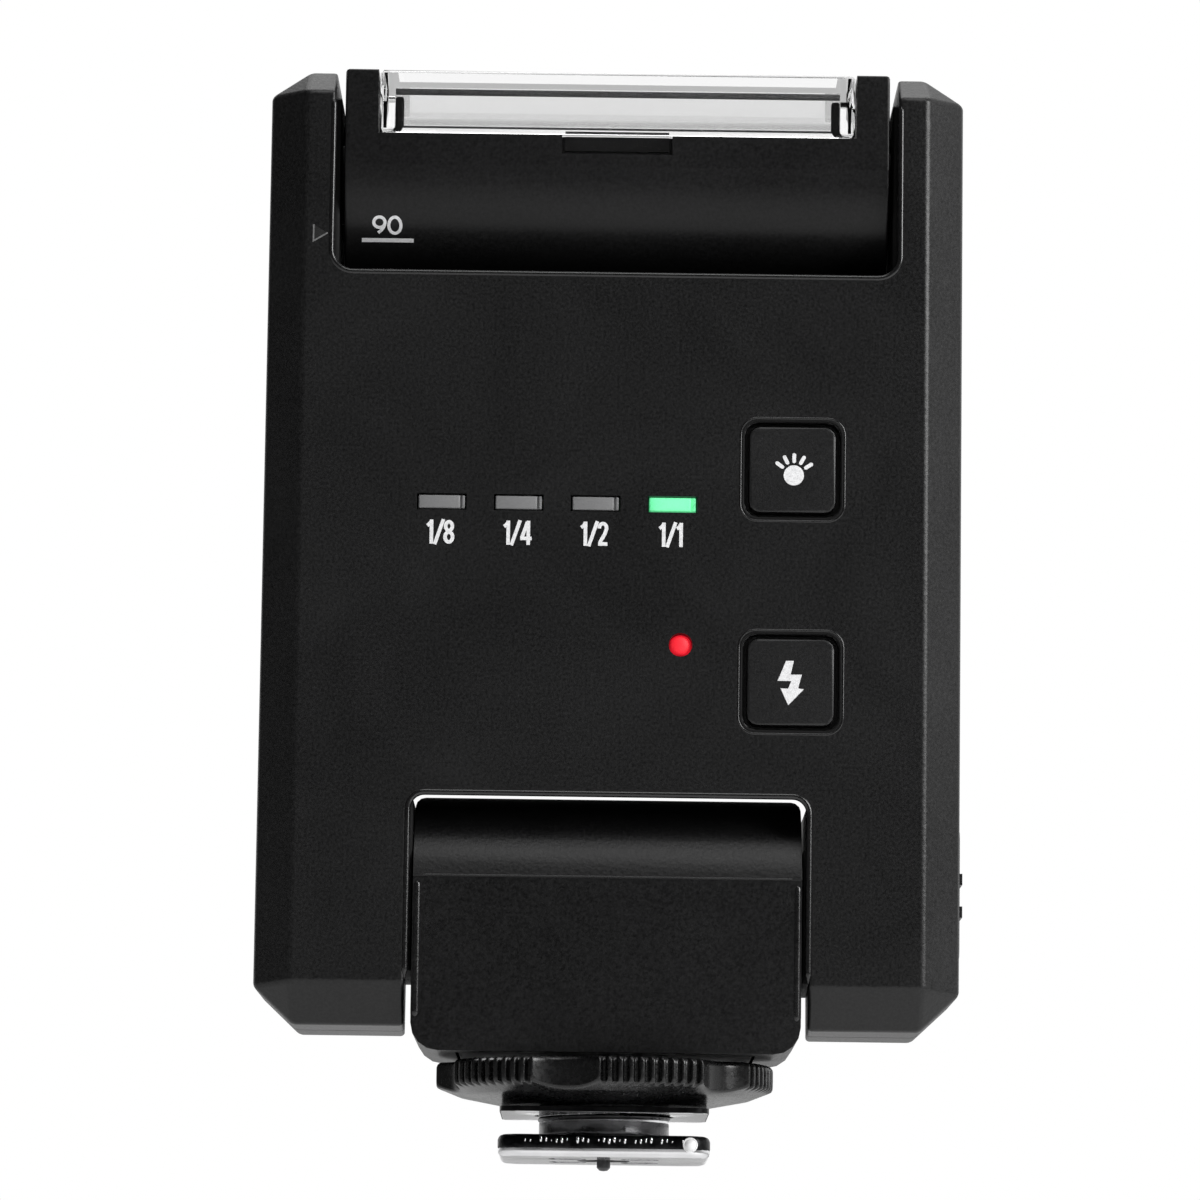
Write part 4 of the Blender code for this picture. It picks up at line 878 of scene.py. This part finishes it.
def thread():
    """A helical ridge that stands a little proud of the neck."""
    bm = bmesh.new()
    inner, root, tip, pitch = 5.6, 5.74, 5.9, 0.5
    low, high = 3.3, 8.6
    turns = (high - low) / pitch
    per = 90
    rows = []
    for i in range(int(turns * per) + 1):
        a = math.tau * i / per
        z = low + pitch * i / per
        ease = min(1.0, i / 30, (turns * per - i) / 30)
        t = root + (tip - root) * max(0.02, ease)
        c, s = math.cos(a), math.sin(a)
        rows.append(
            [
                bm.verts.new(Vector((r * c, r * s, z + dz)) * MM)
                for r, dz in ((inner, -0.24), (root, -0.24), (t, -0.05), (t, 0.05), (root, 0.24), (inner, 0.24))
            ]
        )
    for a, b in zip(rows, rows[1:]):
        for k in range(6):
            bm.faces.new((a[k], a[(k + 1) % 6], b[(k + 1) % 6], b[k]))
    bm.faces.new(reversed(rows[0]))
    bm.faces.new(rows[-1])
    piece("neck_thread", bm, NECK, "foot_base", split=30)


thread()

# the contact's spring, with dead end coils
bm = bmesh.new()
low, high, wire_r, coil_r, coils, per = 2.5, 7.5, 0.16, 0.95, 7.0, 36
rows = []
for i in range(int(coils * per) + 1):
    t = i / per
    dead = 0.36
    if t < 1:
        z = low + dead * t
    elif t > coils - 1:
        z = high - dead * (coils - t)
    else:
        z = low + dead + (high - low - 2 * dead) * (t - 1) / (coils - 2)
    a = math.tau * t
    c, d = math.cos(a), math.sin(a)
    row = []
    for k in range(12):
        b = math.tau * k / 12
        r = coil_r + wire_r * math.cos(b)
        row.append(bm.verts.new(Vector((r * c, r * d, z + wire_r * math.sin(b))) * MM))
    rows.append(row)
for p, q in zip(rows, rows[1:]):
    for k in range(12):
        bm.faces.new((p[k], p[(k + 1) % 12], q[(k + 1) % 12], q[k]))
bm.faces.new(reversed(rows[0]))
bm.faces.new(rows[-1])
coil = piece("contact_coil", bm, STEEL, "foot_base", split=50)
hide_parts("contact_spring")
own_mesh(coil)

# the pressure plate's polished underside, a turned-in skin with the neck's hole
lo, hi = (Vector(v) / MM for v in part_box("pressure_plate"))
n = 240
bm = bmesh.new()
rings = []
for inset, z in ((0.1, lo.z + 0.02), (0.1, lo.z - 0.02), (0.25, lo.z - 0.035)):
    rings.append([bm.verts.new(Vector((*rounded_at(360 * i / n, hi.x - inset, hi.y - inset, 1.3), z)) * MM) for i in range(n)])
for r, z in ((6.35, lo.z - 0.035), (6.2, lo.z - 0.02), (6.2, lo.z + 0.02)):
    rings.append([bm.verts.new(Vector((r * math.cos(math.tau * i / n), r * math.sin(math.tau * i / n), z)) * MM) for i in range(n)])
loops(bm, rings, n)
piece("plate_underside", bm, POLISH, "clamp_plate", split=60)


# ---- liners in the gaps beside the fold and the head, and inside the window ------------------
def liner(name, x_face, x_back, ys, zs, hub, hole, body, material=NYLON, n=240):
    """A thin cheek plate across X with a hole round its hinge: hub is the hinge's (y, z), x_face the side that shows."""
    ease = 0.08 if x_face > x_back else -0.08
    bm = bmesh.new()
    rings = []
    for x, shrink, inside in ((x_back, 0, False), (x_face - ease, 0, False), (x_face, 0.1, False), (x_face, 0, True), (x_back, 0, True)):
        ring = []
        for i in range(n):
            a = math.tau * i / n
            c, s = math.cos(a), math.sin(a)
            if inside:
                r = hole
            else:
                reach_y = ((ys[1] if c > 0 else ys[0]) - hub[0]) / c if abs(c) > 1e-6 else 1e6
                reach_z = ((zs[1] if s > 0 else zs[0]) - hub[1]) / s if abs(s) > 1e-6 else 1e6
                r = max(hole + 0.05, min(reach_y, reach_z) - shrink)
            ring.append(bm.verts.new(Vector((x, hub[0] + r * c, hub[1] + r * s)) * MM))
        rings.append(ring)
    loops(bm, rings, n)
    return piece(name, bm, material, body, split=50)


lo, hi = (Vector(v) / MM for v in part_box("fold_washer_left"))
fold = ((lo.y + hi.y) / 2, (lo.z + hi.z) / 2)
lo, hi = (Vector(v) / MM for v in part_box("head_trunnion_left"))
tilt_axis = ((lo.y + hi.y) / 2, (lo.z + hi.z) / 2)
liner("fold_liner_left", -17.2, -18.2, (-9.1, 9.2), (16.1, 31.2), fold, 5.05, "case")
liner("fold_liner_right", 17.2, 18.2, (-9.1, 9.2), (15.4, 25.9 + 1.2), fold, 5.05, "case")
liner("fold_liner_right_upper", 17.62, 18.2, (-9.1, 9.2), (fold[1] - 5.2, 31.4), fold, 5.1, "case")
liner("head_liner_left", -24.76, -25.3, (-8.0, 8.0), (79.3, 94.5), tilt_axis, 5.35, "case")
liner("head_liner_right", 24.76, 25.3, (-8.0, 8.0), (79.3, 94.5), tilt_axis, 5.35, "case")

# the seal under the window's ceiling, and dark blocks at its two ends: painted shade for the darkness of the window's
# end walls
bm = bmesh.new()
for y0, y1 in ((-7.78, -7.3), (7.3, 7.78)):
    soft_block(bm, -19.95, 19.95, y0, y1, 94.9, 95.42, 0.08, 2)
piece("window_seal", bm, FROST, "flash_head", split=60)
# dark blocks inside the window's ends: painted shade
bm = bmesh.new()
for side in (-1, 1):
    x0, x1 = sorted((side * 19.2, side * 19.95))
    for y0, y1 in ((-7.78, -6.4), (6.4, 7.78)):
        soft_block(bm, x0, x1, y0, y1, 90.95, 94.7, 0.2, 2)
piece("window_end_painted_shade", bm, NYLON, "flash_head", split=60)

# ---------------------------------------------------------------------------
# floor, light and camera
# ---------------------------------------------------------------------------
g = Graph("floor_paper")
g.put("Base Color", g.ramp(g.noise(40, 5.0, 0.6), [(0.3, (0.8, 0.8, 0.8)), (0.7, (0.82, 0.82, 0.82))]))
g.put("Roughness", 0.85)
g.put("Normal", g.bump(g.noise(900, 4.0), 0.1, 0.05))
bm = bmesh.new()
bmesh.ops.create_grid(bm, x_segments=1, y_segments=1, size=4.0)
mesh = bpy.data.meshes.new("floor")
bm.to_mesh(mesh)
bm.free()
mesh.materials.append(g.mat)
floor = bpy.data.objects.new("floor", mesh)
floor.location = (0, 0, -0.09)
bpy.context.scene.collection.objects.link(floor)

world = bpy.data.worlds.new("studio")
bpy.context.scene.world = world
world.use_nodes = True
tree = world.node_tree
coords = tree.nodes.new("ShaderNodeTexCoord")
parts = tree.nodes.new("ShaderNodeSeparateXYZ")
tree.links.new(coords.outputs["Generated"], parts.inputs["Vector"])
depth = tree.nodes.new("ShaderNodeMapRange")
depth.interpolation_type = "SMOOTHSTEP"
depth.inputs["From Min"].default_value = -0.1
depth.inputs["From Max"].default_value = 0.75
depth.inputs["To Min"].default_value = 0.066
depth.inputs["To Max"].default_value = 1.0
side = tree.nodes.new("ShaderNodeMath")
side.operation = "MULTIPLY_ADD"
side.inputs[1].default_value = 0.42
tree.links.new(parts.outputs["X"], side.inputs[0])
tree.links.new(parts.outputs["Y"], side.inputs[2])
tree.links.new(side.outputs["Value"], depth.inputs["Value"])
back = tree.nodes["Background"]
tree.links.new(depth.outputs["Result"], back.inputs["Strength"])
back.inputs["Color"].default_value = (1.0, 1.0, 1.0, 1.0)


def softbox(name, location, target, size, power, colour=(1.0, 1.0, 1.0)):
    light = bpy.data.lights.new(name, "AREA")
    light.shape = "RECTANGLE"
    light.size, light.size_y = size
    light.energy = power
    light.color = colour
    lamp = bpy.data.objects.new(name, light)
    lamp.location = location
    aim = Vector(target) - Vector(location)
    lamp.rotation_mode = "QUATERNION"
    lamp.rotation_quaternion = aim.to_track_quat("-Z", "Y")
    bpy.context.scene.collection.objects.link(lamp)
    return lamp


softbox("overhead", (0.0, 0.2, 0.95), (0, 0, 0), (0.9, 0.6), 4.0)
softbox("key_right", (0.4, -0.3, 0.26), (0, 0, 0.05), (0.2, 0.36), 2.65)
softbox("fill_front", (0.05, -0.52, 0.92), (0, 0, 0.05), (0.5, 0.34), 2.1)

tilt, roll, distance = math.radians(8.0), math.radians(0.78), 0.520
target = Vector((-0.99, 0.0, 50.4)) * MM
forward = Vector((0.0, math.cos(tilt), math.sin(tilt)))
right, up = Vector((1, 0, 0)), Vector((0, -math.sin(tilt), math.cos(tilt)))
right, up = right * math.cos(roll) + up * math.sin(roll), up * math.cos(roll) - right * math.sin(roll)
camera = bpy.data.objects.new("camera", bpy.data.cameras.new("camera"))
camera.data.lens = 173.0
camera.data.sensor_width = 36.0
camera.data.clip_start = 0.01
place = Matrix((right, up, -forward)).transposed().to_4x4()
place.translation = target - forward * distance
camera.matrix_world = place
bpy.context.scene.collection.objects.link(camera)
bpy.context.scene.camera = camera
bpy.context.scene.view_settings.view_transform = "Standard"

bpy.context.view_layer.update()
